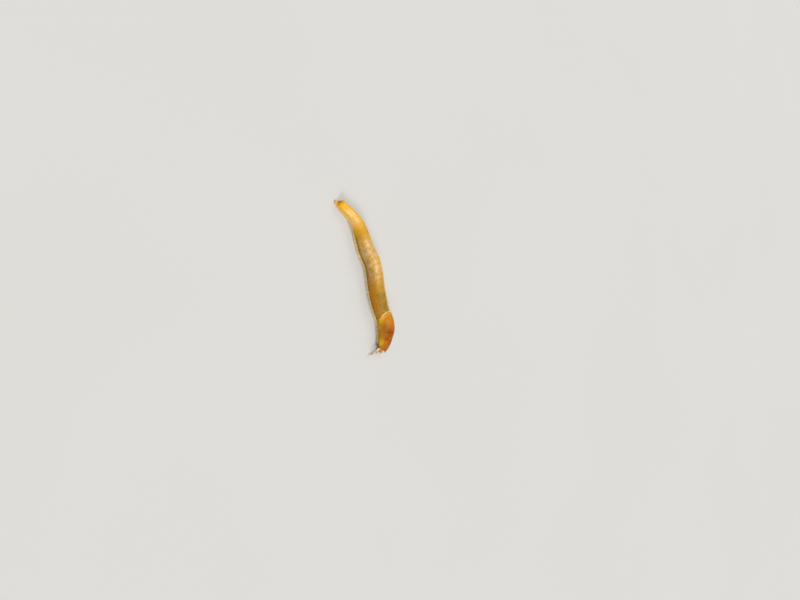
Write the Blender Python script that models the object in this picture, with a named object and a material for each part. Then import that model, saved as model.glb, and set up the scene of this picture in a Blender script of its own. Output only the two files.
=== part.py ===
"""Banana slug at life size, stretched out and crawling, 170 mm along its body. Metres, +Z up.

The slug lies along X with its head at +X, its left side at +Y and its sole flat on Z = 0.
Every form is swept along one line on the ground, the slug's path. A station is the distance
in millimetres along that line from the tip of the tail. The flesh is parted into lengths by
thin cuts across the path, and the foot is parted from the back along the pedal groove.
"""

import math

import bmesh
import bpy
from mathutils import Matrix, Vector

MM = 0.001
GAP = 0.3  # kept between any two pieces, mm

# The path: the way the slug points at a station, degrees left of X.
HEADINGS = ((0, 28), (15, 37), (30, 18), (50, 0), (70, 10), (90, -12), (110, -6), (130, 8), (145, -20), (156, -31),
            (167, -51))
ORIGIN_STATION = 82.0  # the station of the origin, on the sole under the middle of the body
PATH_STEP = 0.5
PATH_LONG = 180.0

# The back's outer form without the mantle: half its width and its height at a station, mm.
HALF_WIDTHS = ((3, 4.2), (10, 4.1), (20, 4.8), (35, 6.9), (55, 8.1), (75, 8.8), (95, 8.8), (115, 8.6), (130, 8.0),
               (145, 8.7), (153, 8.0), (160, 6.9), (168, 4.8))
HEIGHTS = ((3, 8.2), (10, 8.2), (20, 9.0), (35, 10.9), (55, 12.6), (75, 14.1), (95, 14.1), (115, 14.1), (130, 12.8),
           (145, 13.2), (153, 11.3), (160, 8.9), (168, 5.8))
WIDEST_AT = 0.36  # share of the height above the groove where a section is widest
GROOVE_INSET = 0.87  # half width at the pedal groove, as a share of the widest
DOME_SHARE = 0.72  # share of the way from back to groove that lies above the widest point
DOME_POWER = 2.1  # 2 is an ellipse, and more is squarer
KEEL_HEIGHT = 0.55  # the ridge along the back of the tail
KEEL_SPREAD = 0.16  # half its width, as a share of the way from back to groove
KEEL_FADES = (30.0, 75.0)  # stations between which it dies out
CORE_HEIGHT = 0.4  # the line inside the back that skins are set out from, as a share of the height
LEAST_REACH = 0.2  # no skin comes nearer to that line than this, mm

# The foot under the body.
FOOT_HALF_WIDTHS = ((0, 1.5), (5, 3.2), (15, 5.0), (35, 6.2), (50, 9.0), (62, 9.3), (78, 8.4), (95, 8.7), (115, 8.3),
                    (127, 9.0), (148, 8.5), (155, 7.4), (160, 6.2), (165, 4.6))
FOOT_HEIGHT = 2.2  # the pedal groove's height
FOOT_TAIL_ROUND = 2.5
FOOT_FRONT = 165.5
FOOT_FRONT_ROUND = 4.0
TAIL_TIP_HEIGHT = 1.1  # the foot thins to this at its very tip
TAIL_TIP_ASIDE = 1.4  # the tip lies this far right of the path
TAIL_TIP_LONG = 8.0  # the tip is that much thinner and further aside up to this station
BRIM_HEIGHT = 0.6  # where the fringe reaches furthest out
SOLE_INSET = 0.4  # from the brim in to the edge of the flat sole
SOLE_INSET_SHARE = 0.3  # but at most this share of the brim's half width
FRINGE_INSET = 0.93  # the pedal groove is at most this share of the brim's half width
FRINGE_HEIGHT = 0.66  # the fringe bulges at this share of the groove's height
FRINGE_BULGE = 0.06  # as a share of the brim's half width
TOP_MIDDLE = 0.5  # the foot's flat top has points at this share of the way to the groove

# Stations of the cuts that part the lengths.
BACK_END = 3.6  # the back ends here, above the foot's tip
BACK_ROUND = 3.5
BACK_END_LIFT = 0.25  # its very end, above its underside
CUTS = (34.0, 66.0, 98.0, 130.0, 152.0)
RING_STEP = 4.0  # between the rings of points of a length
ROUND_RINGS = 5  # in a round end

# The mantle, an oval shield over the front of the back, free at its edge.
MANTLE_CENTRE = 147.0
MANTLE_REAR = 20.0  # from its centre to its rear edge
MANTLE_LAG = 3.0  # but less by this on the left, where the body's bend draws it forwards
MANTLE_LAG_GIRTHS = (-10.0, 60.0)  # degrees of girth between which that sets in
MANTLE_FORE = 20.5  # from its centre to its front edge
MANTLE_GIRTH = 138.0  # degrees from the middle of the back down to its side edge
MANTLE_POWERS = (2.0, 2.4)  # behind and before its centre: 2 is an ellipse, and more is squarer
MANTLE_PROUD = 0.65  # how far it stands out of the back behind it
MANTLE_THICK = 1.3
MANTLE_BED_ABOVE = 1.5  # the cutter of its bed reaches this far above it
MANTLE_BED_GROWTH = 1.02  # and is this much larger than it
MANTLE_RINGS = 11
MANTLE_SPOKES = 44
MANTLE_LIP_RINGS = (0.7, 0.0, -0.7)  # in its rounded edge, as shares of half its thickness

# The breathing pore, in the right side of the mantle.
PORE_STATION = 143.5
PORE_GIRTH = 98.0
PORE_SLANT = 38.0  # degrees that it rises forwards
PORE_LONG = 1.6  # half its length
PORE_WIDE = 0.7  # half its width
RIM_THICK = 0.5
RIM_DEPTH = 0.85
RIM_SUNK = 0.35  # the rim's middle, below the mantle's face
PORE_DEPTH = 0.9
PORE_LIFT = 0.2  # the hollow's middle, above that face
PORE_SIGHT = -1.0  # the pore faces away from a point this far out of the back's form, so inside it

# The mucus pit, a notch in the blunt end of the back.
PIT_HALF_WIDTH = 0.8
PIT_DEPTH = 2.0
PIT_HEIGHT = 3.4

# The head, mostly drawn in under the mantle.
HEAD_TIP = 169.4
HEAD_ROUND = 5.5
HEAD_RING_STEP = 2.5
HEAD_ROUND_RINGS = 7
HEAD_HALF_WIDTHS = ((152, 6.8), (160, 5.8), (165, 5.2), (170, 4.7))
HEAD_TOPS = ((152, 10.0), (160, 7.2), (164, 5.8), (167, 4.4), (170, 3.6))
CHIN_STATIONS = (165.9, 166.7)  # in front of the foot the head comes down to the chin
CHIN_HEIGHT = 1.0
MOUTH_HEIGHT = 2.4
MOUTH_RADII = (2.0, 1.7, 0.3)  # half its depth, width and height
LOBE_RADII = (1.6, 1.4, 1.0)
LOBE_BACK = 1.7  # from the head's tip back to the lobes' middles
LOBE_HEIGHT = 2.0
LOBE_SPREAD = 1.6

# Feelers: where each is rooted (station, mm to the left, mm up), the way it points (degrees left of
# the path there, degrees up), how far it stands out of its root, and its half thicknesses.
FEELERS = {
    "upper_tentacle_right": {"root": (166.0, -2.4, 4.0), "turn": -29, "rise": 0, "length": 12.6,
                             "base": 1.05, "neck": 0.74, "knob": 0.88, "bend": -6},
    "upper_tentacle_left": {"root": (163.9, 4.4, 4.2), "turn": 12, "rise": 6, "length": 1.9,
                            "base": 1.1, "neck": 0.95, "knob": 1.0, "bend": 0},
    "lower_tentacle_right": {"root": (166.8, -2.5, 2.2), "turn": 5, "rise": -6, "length": 3.4,
                             "base": 0.75, "neck": 0.62, "knob": 0.66, "bend": 0},
    "lower_tentacle_left": {"root": (166.2, 2.5, 2.2), "turn": 6, "rise": -6, "length": 1.3,
                            "base": 0.75, "neck": 0.66, "knob": 0.66, "bend": 0},
}
FEELER_ROOT = 2.8  # length of the socket on the head, from inside it to the feeler's first face
FEELER_TAPER = 0.87  # the neck's thickness is reached at this share of the length
KNOB_STARTS = 3.2  # the knob swells from this many of its radii behind the tip
KNOB_FULL = 1.2  # and is full at this many
FEELER_SIDES = 12
FEELER_STEP = 1.5
KNOB_RINGS = 4
EYE_RADIUS = 0.42
EYE_SUNK = 0.3  # the eye's middle, behind the knob's tip

HOLLOW_SEGMENTS = 14  # round a cutter of a pore, a pit or an eye's seat
SHARP_ANGLE = 40  # degrees between faces, past which the edge is shaded sharp
SKIN_ROUGHNESS = 0.35
EYE_ROUGHNESS = 0.12

COLOURS = {
    "back": (0.62, 0.36, 0.045),
    "mantle": (0.66, 0.26, 0.02),
    "foot": (0.55, 0.38, 0.12),
    "feeler": (0.62, 0.42, 0.2),
    "eye": (0.01, 0.009, 0.008),
}


def eased(knots, at):
    """The value at a place between knots, on a smooth curve that never overshoots them."""
    if at <= knots[0][0]:
        return knots[0][1]
    if at >= knots[-1][0]:
        return knots[-1][1]
    steps = [b[0] - a[0] for a, b in zip(knots, knots[1:])]
    slopes = [(b[1] - a[1]) / step for a, b, step in zip(knots, knots[1:], steps)]
    i = next(n for n in range(len(steps)) if at <= knots[n + 1][0])

    def tangent(n):
        before, after = slopes[max(n - 1, 0)], slopes[min(n, len(slopes) - 1)]
        return 0.0 if before * after <= 0 else 2 * before * after / (before + after)

    t = (at - knots[i][0]) / steps[i]
    rise = knots[i + 1][1] - knots[i][1]
    start, end = tangent(i) * steps[i], tangent(i + 1) * steps[i]
    return knots[i][1] + t * (start + t * ((3 * rise - 2 * start - end) + t * (start + end - 2 * rise)))


def fade(at, start, end):
    """0 before start, 1 after end, and a smooth rise between them."""
    t = min(max((at - start) / (end - start), 0.0), 1.0)
    return t * t * (3 - 2 * t)


def rounding(distance, reach):
    """How full a form is at a distance from its end, where the end is a round one of that reach."""
    if distance >= reach:
        return 1.0
    return math.sqrt(max(1 - (1 - max(distance, 0.0) / reach) ** 2, 0.0))


def walk_path():
    """The path's points on the ground, one each PATH_STEP, with the origin at ORIGIN_STATION."""
    points = [Vector((0, 0))]
    for n in range(int(PATH_LONG / PATH_STEP)):
        heading = math.radians(eased(HEADINGS, (n + 0.5) * PATH_STEP))
        points.append(points[-1] + PATH_STEP * Vector((math.cos(heading), math.sin(heading))))
    start = points[int(ORIGIN_STATION / PATH_STEP)]
    return [point - start for point in points]


PATH = walk_path()


def place(station, left, up):
    """The point, in metres, at a station, that many mm to the left of the path and above the floor."""
    n = min(max(int(station / PATH_STEP), 0), len(PATH) - 2)
    share = station / PATH_STEP - n
    ground = PATH[n].lerp(PATH[n + 1], share) if share >= 0 else PATH[0] + share * (PATH[1] - PATH[0])
    heading = math.radians(eased(HEADINGS, station))
    return Vector((ground.x - left * math.sin(heading), ground.y + left * math.cos(heading), up)) * MM


def pointing(station, turn, rise):
    """The unit vector that points turn degrees left of the path at a station, and rise degrees up."""
    heading, up = math.radians(eased(HEADINGS, station) + turn), math.radians(rise)
    return Vector((math.cos(heading) * math.cos(up), math.sin(heading) * math.cos(up), math.sin(up)))


def section_point(half_width, height, across, floor=FOOT_HEIGHT):
    """(left, up) on a section's dome. across runs from -1, the right pedal groove, over 0, the back."""
    side, way = (1 if across >= 0 else -1), abs(across)
    widest, groove = floor + WIDEST_AT * (height - floor), GROOVE_INSET * half_width
    if way <= DOME_SHARE:
        turn = 0.5 * math.pi * (1 - way / DOME_SHARE)
        left = half_width * max(math.cos(turn), 0.0) ** (2 / DOME_POWER)
        return side * left, widest + (height - widest) * math.sin(turn) ** (2 / DOME_POWER)
    turn = 0.5 * math.pi * min((way - DOME_SHARE) / (1 - DOME_SHARE), 1.0)
    return side * (groove + (half_width - groove) * math.cos(turn)), widest - (widest - floor) * math.sin(turn)


def back_point(station, across, out=0.0):
    """(left, up) on the back's outer form, keel included, or out mm outside it away from its middle."""
    half_width, height = eased(HALF_WIDTHS, station), eased(HEIGHTS, station)
    left, up = section_point(half_width, height, across)
    up += KEEL_HEIGHT * (1 - fade(station, *KEEL_FADES)) * max(0.0, 1 - abs(across) / KEEL_SPREAD)
    middle = CORE_HEIGHT * height
    reach = math.hypot(left, up - middle)
    grown = max(reach + out, LEAST_REACH) / reach
    return left * grown, middle + (up - middle) * grown


def girth_to_across(girth):
    """Degrees of girth from the middle of the back, as the across of section_point."""
    if abs(girth) <= 90:
        return girth / 90 * DOME_SHARE
    return math.copysign(DOME_SHARE + (abs(girth) - 90) / 90 * (1 - DOME_SHARE), girth)


def mantle_spot(share, turn):
    """(station, across) on the mantle. share runs from 0 at its centre to 1 at its edge."""
    cosine, sine = math.cos(turn), math.sin(turn)
    power = MANTLE_POWERS[cosine > 0]
    reach = share * (abs(cosine) ** power + abs(sine) ** power) ** (-1 / power)
    girth = reach * sine * MANTLE_GIRTH
    rear = MANTLE_REAR - MANTLE_LAG * fade(girth, *MANTLE_LAG_GIRTHS)
    station = MANTLE_CENTRE + reach * cosine * (MANTLE_FORE if cosine > 0 else rear)
    return station, girth_to_across(girth)


def mantle_point(share, turn, out):
    """A point of the mantle, out mm outside the back's outer form."""
    station, across = mantle_spot(share, turn)
    return place(station, *back_point(station, across, out))


def finish_of(slot, roughness):
    """A moist skin colour."""
    made = bpy.data.materials.new(slot)
    made.use_nodes = True
    shader = made.node_tree.nodes["Principled BSDF"]
    shader.inputs["Base Color"].default_value = (*COLOURS[slot], 1)
    shader.inputs["Roughness"].default_value = roughness
    shader.inputs["Metallic"].default_value = 0
    return made


def new_object(name, shape, finish, origin=Vector((0, 0, 0))):
    """An object at its origin, whose mesh the function shape fills in the slug's own frame."""
    bm = bmesh.new()
    shape(bm)
    bmesh.ops.translate(bm, verts=bm.verts[:], vec=-origin)
    bmesh.ops.recalc_face_normals(bm, faces=bm.faces[:])
    mesh = bpy.data.meshes.new(name)
    bm.to_mesh(mesh)
    bm.free()
    mesh.materials.append(finish)
    made = bpy.data.objects.new(name, mesh)
    made.location = origin
    made.parent = bpy.data.objects["banana_slug"]
    bpy.context.scene.collection.objects.link(made)
    return made


def smooth_shade(made):
    """Shades round faces smooth, and keeps the cut edges sharp."""
    made.data.shade_smooth()
    made.data.set_sharp_from_angle(angle=math.radians(SHARP_ANGLE))


def skin_rings(bm, rings, first_pole=None, last_pole=None):
    """Joins rings of points into a closed form. An end with no pole is a flat cap."""
    loops = [[bm.verts.new(point) for point in ring] for ring in rings]
    for first, second in zip(loops, loops[1:]):
        for n in range(len(first)):
            bm.faces.new((first[n - 1], first[n], second[n], second[n - 1]))
    for loop, pole in ((loops[0], first_pole), (loops[-1], last_pole)):
        if pole is None:
            bm.faces.new(loop)
            continue
        tip = bm.verts.new(pole)
        for n in range(len(loop)):
            bm.faces.new((loop[n - 1], loop[n], tip))


def stations_between(start, end, step=RING_STEP):
    """Evenly spaced stations from start to end, about a step apart."""
    count = max(2, round((end - start) / step))
    return [start + (end - start) * n / count for n in range(count + 1)]


def rounded_stations(end, reach, count=ROUND_RINGS):
    """Stations that crowd towards a round end. They run from it forwards, or back where reach is negative."""
    turns = [0.5 * math.pi * (n + 0.5) / (count + 0.5) for n in range(count)]
    return [end + reach * (1 - math.cos(turn)) for turn in turns]


def back_ring(station, count=28):
    """One ring of the back: its dome, and the flat that faces the foot."""
    full = rounding(station - BACK_END, BACK_ROUND)
    base = FOOT_HEIGHT + GAP / 2
    ring = []
    for n in range(count + 1):
        left, up = back_point(station, 2 * n / count - 1)
        ring.append(place(station, left * full, base + max(up - FOOT_HEIGHT, 0.0) * full))
    return ring


def build_back(name, start, end, finish):
    """A length of the back between two cuts. The first length ends in a round, blunt tail."""

    def shape(bm):
        if start > BACK_END:
            stops = stations_between(start + GAP / 2, end - GAP / 2)
            return skin_rings(bm, [back_ring(stop) for stop in stops])
        stops = rounded_stations(BACK_END, BACK_ROUND) + stations_between(BACK_END + BACK_ROUND, end - GAP / 2)
        pole = place(BACK_END, 0, FOOT_HEIGHT + GAP / 2 + BACK_END_LIFT)
        return skin_rings(bm, [back_ring(stop) for stop in stops], first_pole=pole)

    return new_object(name, shape, finish, place(0.5 * (start + end), 0, FOOT_HEIGHT))


def foot_half_width(station):
    """Half the width of the foot, with its round ends."""
    width = eased(FOOT_HALF_WIDTHS, station)
    return width * rounding(station, FOOT_TAIL_ROUND) * rounding(FOOT_FRONT - station, FOOT_FRONT_ROUND)


def foot_place(station, left, up):
    """As place, from the middle of the foot, whose tip lies to the right of the path."""
    return place(station, left - TAIL_TIP_ASIDE * (1 - fade(station, 0.0, TAIL_TIP_LONG)), up)


def foot_ring(station):
    """One ring of the foot: the flat sole, the fringe that slopes out from the pedal groove, and the top."""
    brim = foot_half_width(station)
    top = TAIL_TIP_HEIGHT + (FOOT_HEIGHT - GAP / 2 - TAIL_TIP_HEIGHT) * fade(station, 0.0, TAIL_TIP_LONG)
    groove = min(GROOVE_INSET * eased(HALF_WIDTHS, station), FRINGE_INSET * brim)
    bulge = min(0.5 * (brim + groove) + FRINGE_BULGE * brim, brim)
    sole = brim - min(SOLE_INSET, SOLE_INSET_SHARE * brim)
    side = ((sole, 0.0), (brim, BRIM_HEIGHT), (bulge, FRINGE_HEIGHT * top), (groove, top), (TOP_MIDDLE * groove, top))
    right = [foot_place(station, -left, up) for left, up in side]
    return right + [foot_place(station, left, up) for left, up in reversed(side)]


def build_foot(name, start, end, finish):
    """A length of the foot between two cuts, with a round end where it is the first or the last."""

    def shape(bm):
        first, last = start <= 0, end >= FOOT_FRONT
        stops = stations_between(start + (FOOT_TAIL_ROUND if first else GAP / 2),
                                 end - (FOOT_FRONT_ROUND if last else GAP / 2))
        if first:
            stops = rounded_stations(start, FOOT_TAIL_ROUND) + stops
        if last:
            stops += rounded_stations(end, -FOOT_FRONT_ROUND)[::-1]
        first_pole = foot_place(start, 0, 0.5 * TAIL_TIP_HEIGHT) if first else None
        last_pole = foot_place(end, 0, 0.5 * FOOT_HEIGHT) if last else None
        skin_rings(bm, [foot_ring(stop) for stop in stops], first_pole, last_pole)

    return new_object(name, shape, finish, place(0.5 * (start + end), 0, 0))


def mantle_shape(outside, inside, grown=1.0):
    """Fills a mesh with the mantle's shield, from inside to outside mm out of the back's form."""
    turns = [2 * math.pi * n / MANTLE_SPOKES for n in range(MANTLE_SPOKES)]
    shares = [grown * math.sin(0.5 * math.pi * n / MANTLE_RINGS) for n in range(1, MANTLE_RINGS)]
    middle, half = 0.5 * (outside + inside), 0.5 * (outside - inside)

    def shape(bm):
        rings = [[mantle_point(share, turn, outside) for turn in turns] for share in shares]
        for lip in MANTLE_LIP_RINGS:
            rings.append([mantle_point(grown, turn, middle + lip * half) for turn in turns])
        rings += [[mantle_point(share, turn, inside) for turn in turns] for share in reversed(shares)]
        skin_rings(bm, rings, mantle_point(0, 0, outside), mantle_point(0, 0, inside))

    return shape


def hide_as_helper(helper):
    """Marks a cutter, or a shape that is to be joined, so that it is no piece of its own."""
    helper.hide_render = True
    helper.display_type = "WIRE"
    return helper


def clear_of_mantle(pieces):
    """Cuts the mantle's bed, GAP deep around it, into the pieces that it lies on."""
    finish = bpy.data.materials["mantle"]
    for piece in pieces:
        shape = mantle_shape(MANTLE_PROUD + MANTLE_BED_ABOVE, MANTLE_PROUD - MANTLE_THICK - GAP, MANTLE_BED_GROWTH)
        combine(piece, [hide_as_helper(new_object("mantle_bed", shape, finish))], "DIFFERENCE")


def ball(name, centre, radii, aim=Vector((1, 0, 0)), over=Vector((0, 0, 1)), segments=16, rings=8):
    """A helper: an ellipsoid, its first radius along aim and its third near the way over points."""

    def shape(bm):
        bmesh.ops.create_uvsphere(bm, u_segments=segments, v_segments=rings, radius=MM)
        side = over.cross(aim).normalized()
        turn = Matrix((aim, side, aim.cross(side))).transposed()
        for vert in bm.verts:
            vert.co = centre + turn @ (vert.co * Vector(radii))

    return hide_as_helper(new_object(name, shape, bpy.data.materials["back"]))


def combine(target, helpers, operation):
    """Applies one Boolean of the helpers to the target, and removes the helpers."""
    group = bpy.data.collections.new("helpers")
    for helper in helpers:
        group.objects.link(helper)
    boolean = target.modifiers.new(operation.lower(), "BOOLEAN")
    boolean.operation = operation
    boolean.operand_type = "COLLECTION"
    boolean.collection = group
    boolean.solver = "EXACT"
    bpy.context.view_layer.update()
    evaluated = target.evaluated_get(bpy.context.evaluated_depsgraph_get())
    mesh = bpy.data.meshes.new_from_object(evaluated)
    target.modifiers.remove(boolean)
    keep_largest(mesh)
    target.data = mesh
    bpy.data.collections.remove(group)
    for helper in helpers:
        bpy.data.objects.remove(helper)


def keep_largest(mesh):
    """Leaves only the largest closed surface of a mesh, made of triangles."""
    bm = bmesh.new()
    bm.from_mesh(mesh)
    todo, shells = set(bm.faces), []
    while todo:
        shell, edge_faces = [], [todo.pop()]
        while edge_faces:
            face = edge_faces.pop()
            shell.append(face)
            near = {other for edge in face.edges for other in edge.link_faces} & todo
            todo -= near
            edge_faces += near
        shells.append(shell)
    shells.sort(key=len)
    for shell in shells[:-1]:
        bmesh.ops.delete(bm, geom=shell, context="FACES")
    bmesh.ops.dissolve_degenerate(bm, dist=1e-6, edges=bm.edges[:])
    bmesh.ops.triangulate(bm, faces=bm.faces[:])
    bm.to_mesh(mesh)
    bm.free()


def head_ring(station, count=26):
    """One ring of the head: a low dome over the foot, which drops to the chin in front of it."""
    full = rounding(HEAD_TIP - station, HEAD_ROUND)
    half_width, top = eased(HEAD_HALF_WIDTHS, station), eased(HEAD_TOPS, station)
    chin = fade(station, *CHIN_STATIONS)
    base = FOOT_HEIGHT + GAP / 2 + (CHIN_HEIGHT - FOOT_HEIGHT - GAP / 2) * chin
    middle = 0.5 * (top + base)
    ring = []
    for n in range(count + 1):
        left, up = section_point(half_width, top, 2 * n / count - 1, base)
        ring.append(place(station, left * full, middle + (up - middle) * full))
    return ring


def feeler_line(spec, along):
    """The feeler's centreline, along mm from its root, and the way it points there."""
    start = pointing(spec["root"][0], spec["turn"], spec["rise"])
    end = pointing(spec["root"][0], spec["turn"] + spec["bend"], spec["rise"])
    share = along / (spec["length"] + FEELER_ROOT)
    return place(*spec["root"]) + start.lerp(end, share / 2) * along * MM, start.lerp(end, share).normalized()


def feeler_radius(spec, share):
    """Half the thickness at a share of the feeler's length: a taper to the neck, then a knob."""
    taper = spec["base"] + (spec["neck"] - spec["base"]) * min(share / FEELER_TAPER, 1.0)
    size = spec["knob"] / spec["length"]
    return taper + (spec["knob"] - taper) * fade(share, 1 - KNOB_STARTS * size, 1 - KNOB_FULL * size)


def feeler_ring(spec, along, radius):
    """A ring of points round the feeler's centreline."""
    centre, aim = feeler_line(spec, along)
    side = aim.cross(Vector((0, 0, 1))).normalized()
    over = side.cross(aim)
    turns = [2 * math.pi * n / FEELER_SIDES for n in range(FEELER_SIDES)]
    return [centre + (side * math.cos(turn) + over * math.sin(turn)) * radius * MM for turn in turns]


def build_feeler(name, spec, finish):
    """A feeler from its flat root, GAP past its socket, to the round end of its knob."""
    reach, knob = spec["length"] + FEELER_ROOT, spec["knob"]

    def shape(bm):
        start = FEELER_ROOT + GAP
        steps = max(2, round((reach - knob - start) / FEELER_STEP))
        stops = [start + (reach - knob - start) * n / steps for n in range(steps + 1)]
        shares = [(stop - FEELER_ROOT) / spec["length"] for stop in stops]
        rings = [feeler_ring(spec, stop, feeler_radius(spec, share)) for stop, share in zip(stops, shares)]
        for n in range(1, KNOB_RINGS):
            turn = 0.5 * math.pi * n / KNOB_RINGS
            rings.append(feeler_ring(spec, reach - knob * (1 - math.sin(turn)), knob * math.cos(turn)))
        skin_rings(bm, rings, last_pole=feeler_line(spec, reach)[0])

    return new_object(name, shape, finish, feeler_line(spec, FEELER_ROOT)[0])


def build_socket(spec):
    """The stub on the head that a feeler meets face to face."""

    def shape(bm):
        skin_rings(bm, [feeler_ring(spec, along, spec["base"]) for along in (0.0, FEELER_ROOT)])

    return hide_as_helper(new_object("socket", shape, bpy.data.materials["back"]))


def build_head(finish):
    """The head with its feeler sockets, the two lobes beside the mouth, and the mouth between them."""

    def shape(bm):
        stops = stations_between(CUTS[-1] + GAP / 2, HEAD_TIP - HEAD_ROUND, HEAD_RING_STEP)
        stops += rounded_stations(HEAD_TIP, -HEAD_ROUND, HEAD_ROUND_RINGS)[::-1]
        pole = place(HEAD_TIP, 0, 0.5 * (CHIN_HEIGHT + eased(HEAD_TOPS, HEAD_TIP)))
        skin_rings(bm, [head_ring(stop) for stop in stops], last_pole=pole)

    return new_object("head", shape, finish, place(HEAD_TIP - HEAD_ROUND, 0, FOOT_HEIGHT))


def finish_head(head):
    """Joins the sockets and the lobes to the head, and cuts the mouth."""
    added = [build_socket(spec) for spec in FEELERS.values()]
    aim = pointing(HEAD_TIP, 0, 0)
    for side in (-1, 1):
        centre = place(HEAD_TIP - LOBE_BACK, side * LOBE_SPREAD, LOBE_HEIGHT)
        added.append(ball("lobe", centre, LOBE_RADII, aim))
    combine(head, added, "UNION")
    slit = ball("mouth_slit", place(HEAD_TIP, 0, MOUTH_HEIGHT), MOUTH_RADII, aim)
    combine(head, [slit], "DIFFERENCE")


def cut_pore(mantle):
    """Raises the rim of the breathing pore on the mantle and sinks the pore in it."""
    across = -girth_to_across(PORE_GIRTH)
    centre = place(PORE_STATION, *back_point(PORE_STATION, across, MANTLE_PROUD))
    outwards = (centre - place(PORE_STATION, *back_point(PORE_STATION, across, PORE_SIGHT))).normalized()
    forwards = pointing(PORE_STATION, 0, 0)
    upwards = outwards.cross(forwards)
    slant = math.radians(PORE_SLANT)
    aim = forwards * math.cos(slant) - upwards * math.sin(slant)
    if aim.z < 0:
        aim = forwards * math.cos(slant) + upwards * math.sin(slant)
    radii = (PORE_LONG + RIM_THICK, PORE_WIDE + RIM_THICK, RIM_DEPTH)
    combine(mantle, [ball("pore_rim", centre - outwards * RIM_SUNK * MM, radii, aim, outwards)], "UNION")
    radii = (PORE_LONG, PORE_WIDE, PORE_DEPTH)
    centre = centre + outwards * PORE_LIFT * MM
    combine(mantle, [ball("pore", centre, radii, aim, outwards, HOLLOW_SEGMENTS)], "DIFFERENCE")


def cut_pit(tail):
    """Sinks the mucus pit into the blunt end of the back."""
    centre = place(BACK_END, 0, FOOT_HEIGHT + 0.5 * PIT_HEIGHT)
    radii = (PIT_DEPTH, PIT_HALF_WIDTH, 0.5 * PIT_HEIGHT)
    combine(tail, [ball("pit", centre, radii, pointing(BACK_END, 0, 0), segments=HOLLOW_SEGMENTS)], "DIFFERENCE")


def seat_eye(name, feeler, spec, finish):
    """The dark eye at a knob's tip, in a round seat cut GAP wider than it."""
    centre = feeler_line(spec, spec["length"] + FEELER_ROOT - EYE_SUNK)[0]
    clear = EYE_RADIUS + GAP
    combine(feeler, [ball("eye_seat", centre, (clear,) * 3, segments=HOLLOW_SEGMENTS)], "DIFFERENCE")

    def shape(bm):
        bmesh.ops.create_icosphere(bm, subdivisions=2, radius=EYE_RADIUS * MM)
        bmesh.ops.translate(bm, verts=bm.verts[:], vec=centre)

    return new_object(name, shape, finish, centre)


def main():
    for old in list(bpy.data.objects):
        bpy.data.objects.remove(old)
    slug = bpy.data.objects.new("banana_slug", None)
    bpy.context.scene.collection.objects.link(slug)
    finishes = {slot: finish_of(slot, EYE_ROUGHNESS if slot == "eye" else SKIN_ROUGHNESS) for slot in COLOURS}
    names = ("tail", "back_rear", "back_middle", "back_front", "shoulders")
    backs = [build_back(*length, finishes["back"]) for length in zip(names, (BACK_END, *CUTS), CUTS)]
    cut_pit(backs[0])
    foot_cuts = (0.0, *CUTS[:4], FOOT_FRONT)
    for name, start, end in zip(("tail", "rear", "middle", "front", "toe"), foot_cuts, foot_cuts[1:]):
        build_foot("foot_" + name, start, end, finishes["foot"])
    mantle = new_object("mantle", mantle_shape(MANTLE_PROUD, MANTLE_PROUD - MANTLE_THICK), finishes["mantle"],
                        place(MANTLE_CENTRE, 0, eased(HEIGHTS, MANTLE_CENTRE)))
    cut_pore(mantle)
    head = build_head(finishes["back"])
    finish_head(head)
    clear_of_mantle((backs[3], backs[4], head))
    for name, spec in FEELERS.items():
        feeler = build_feeler(name, spec, finishes["feeler"])
        if name.startswith("upper"):
            seat_eye(name.replace("upper_tentacle", "eye"), feeler, spec, finishes["eye"])
    for made in slug.children:
        smooth_shade(made)


main()
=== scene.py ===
"""Looks of the banana slug: one moist skin over the whole animal, its eyes, and the stage.

The slug lies along X with its head at +X, its left side at +Y and its sole on Z = 0. Its forms are laid
along one line on the ground, the slug's path. A station is the distance in mm along that line from the
tip of the tail. Lengths are in mm, and turn to metres in the function place.
"""

import functools
import math

import bmesh
import bpy
import numpy as np
from mathutils import Matrix


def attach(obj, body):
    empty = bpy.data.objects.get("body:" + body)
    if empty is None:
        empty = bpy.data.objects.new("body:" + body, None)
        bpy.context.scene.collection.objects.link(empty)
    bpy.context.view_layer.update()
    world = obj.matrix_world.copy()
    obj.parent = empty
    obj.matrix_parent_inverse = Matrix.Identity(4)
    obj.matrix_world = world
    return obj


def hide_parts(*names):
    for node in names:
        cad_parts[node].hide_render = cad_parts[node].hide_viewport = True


bl_info = {
    "name": "Banana Slug",
    "version": (1, 0, 0),
    "blender": (4, 5, 0),
    "location": "3D View > Sidebar > Slug",
    "description": "Skins a life-size banana slug and sets its stage",
    "category": "Object",
}

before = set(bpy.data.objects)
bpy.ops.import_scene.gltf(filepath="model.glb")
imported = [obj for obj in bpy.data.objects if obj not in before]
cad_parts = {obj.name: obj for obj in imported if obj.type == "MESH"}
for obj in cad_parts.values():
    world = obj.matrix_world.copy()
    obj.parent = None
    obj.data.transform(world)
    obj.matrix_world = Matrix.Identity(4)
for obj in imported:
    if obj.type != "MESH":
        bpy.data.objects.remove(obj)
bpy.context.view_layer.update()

MM = 0.001
NEAR = 0.01  # mm within which points of a blank count as one place
LIE_SPAN = 200.0  # mm in one unit of the UV map lie

# The path: the way the slug points at a station, degrees left of X.
HEADINGS = ((0, 28), (15, 37), (30, 18), (50, 0), (70, 10), (90, -12), (110, -6), (130, 8), (145, -20),
            (156, -31), (167, -51))
ORIGIN_STATION = 82.0  # the station of the origin
PATH_STEP = 0.5
PATH_ENDS = (-10.0, 190.0)

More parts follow.
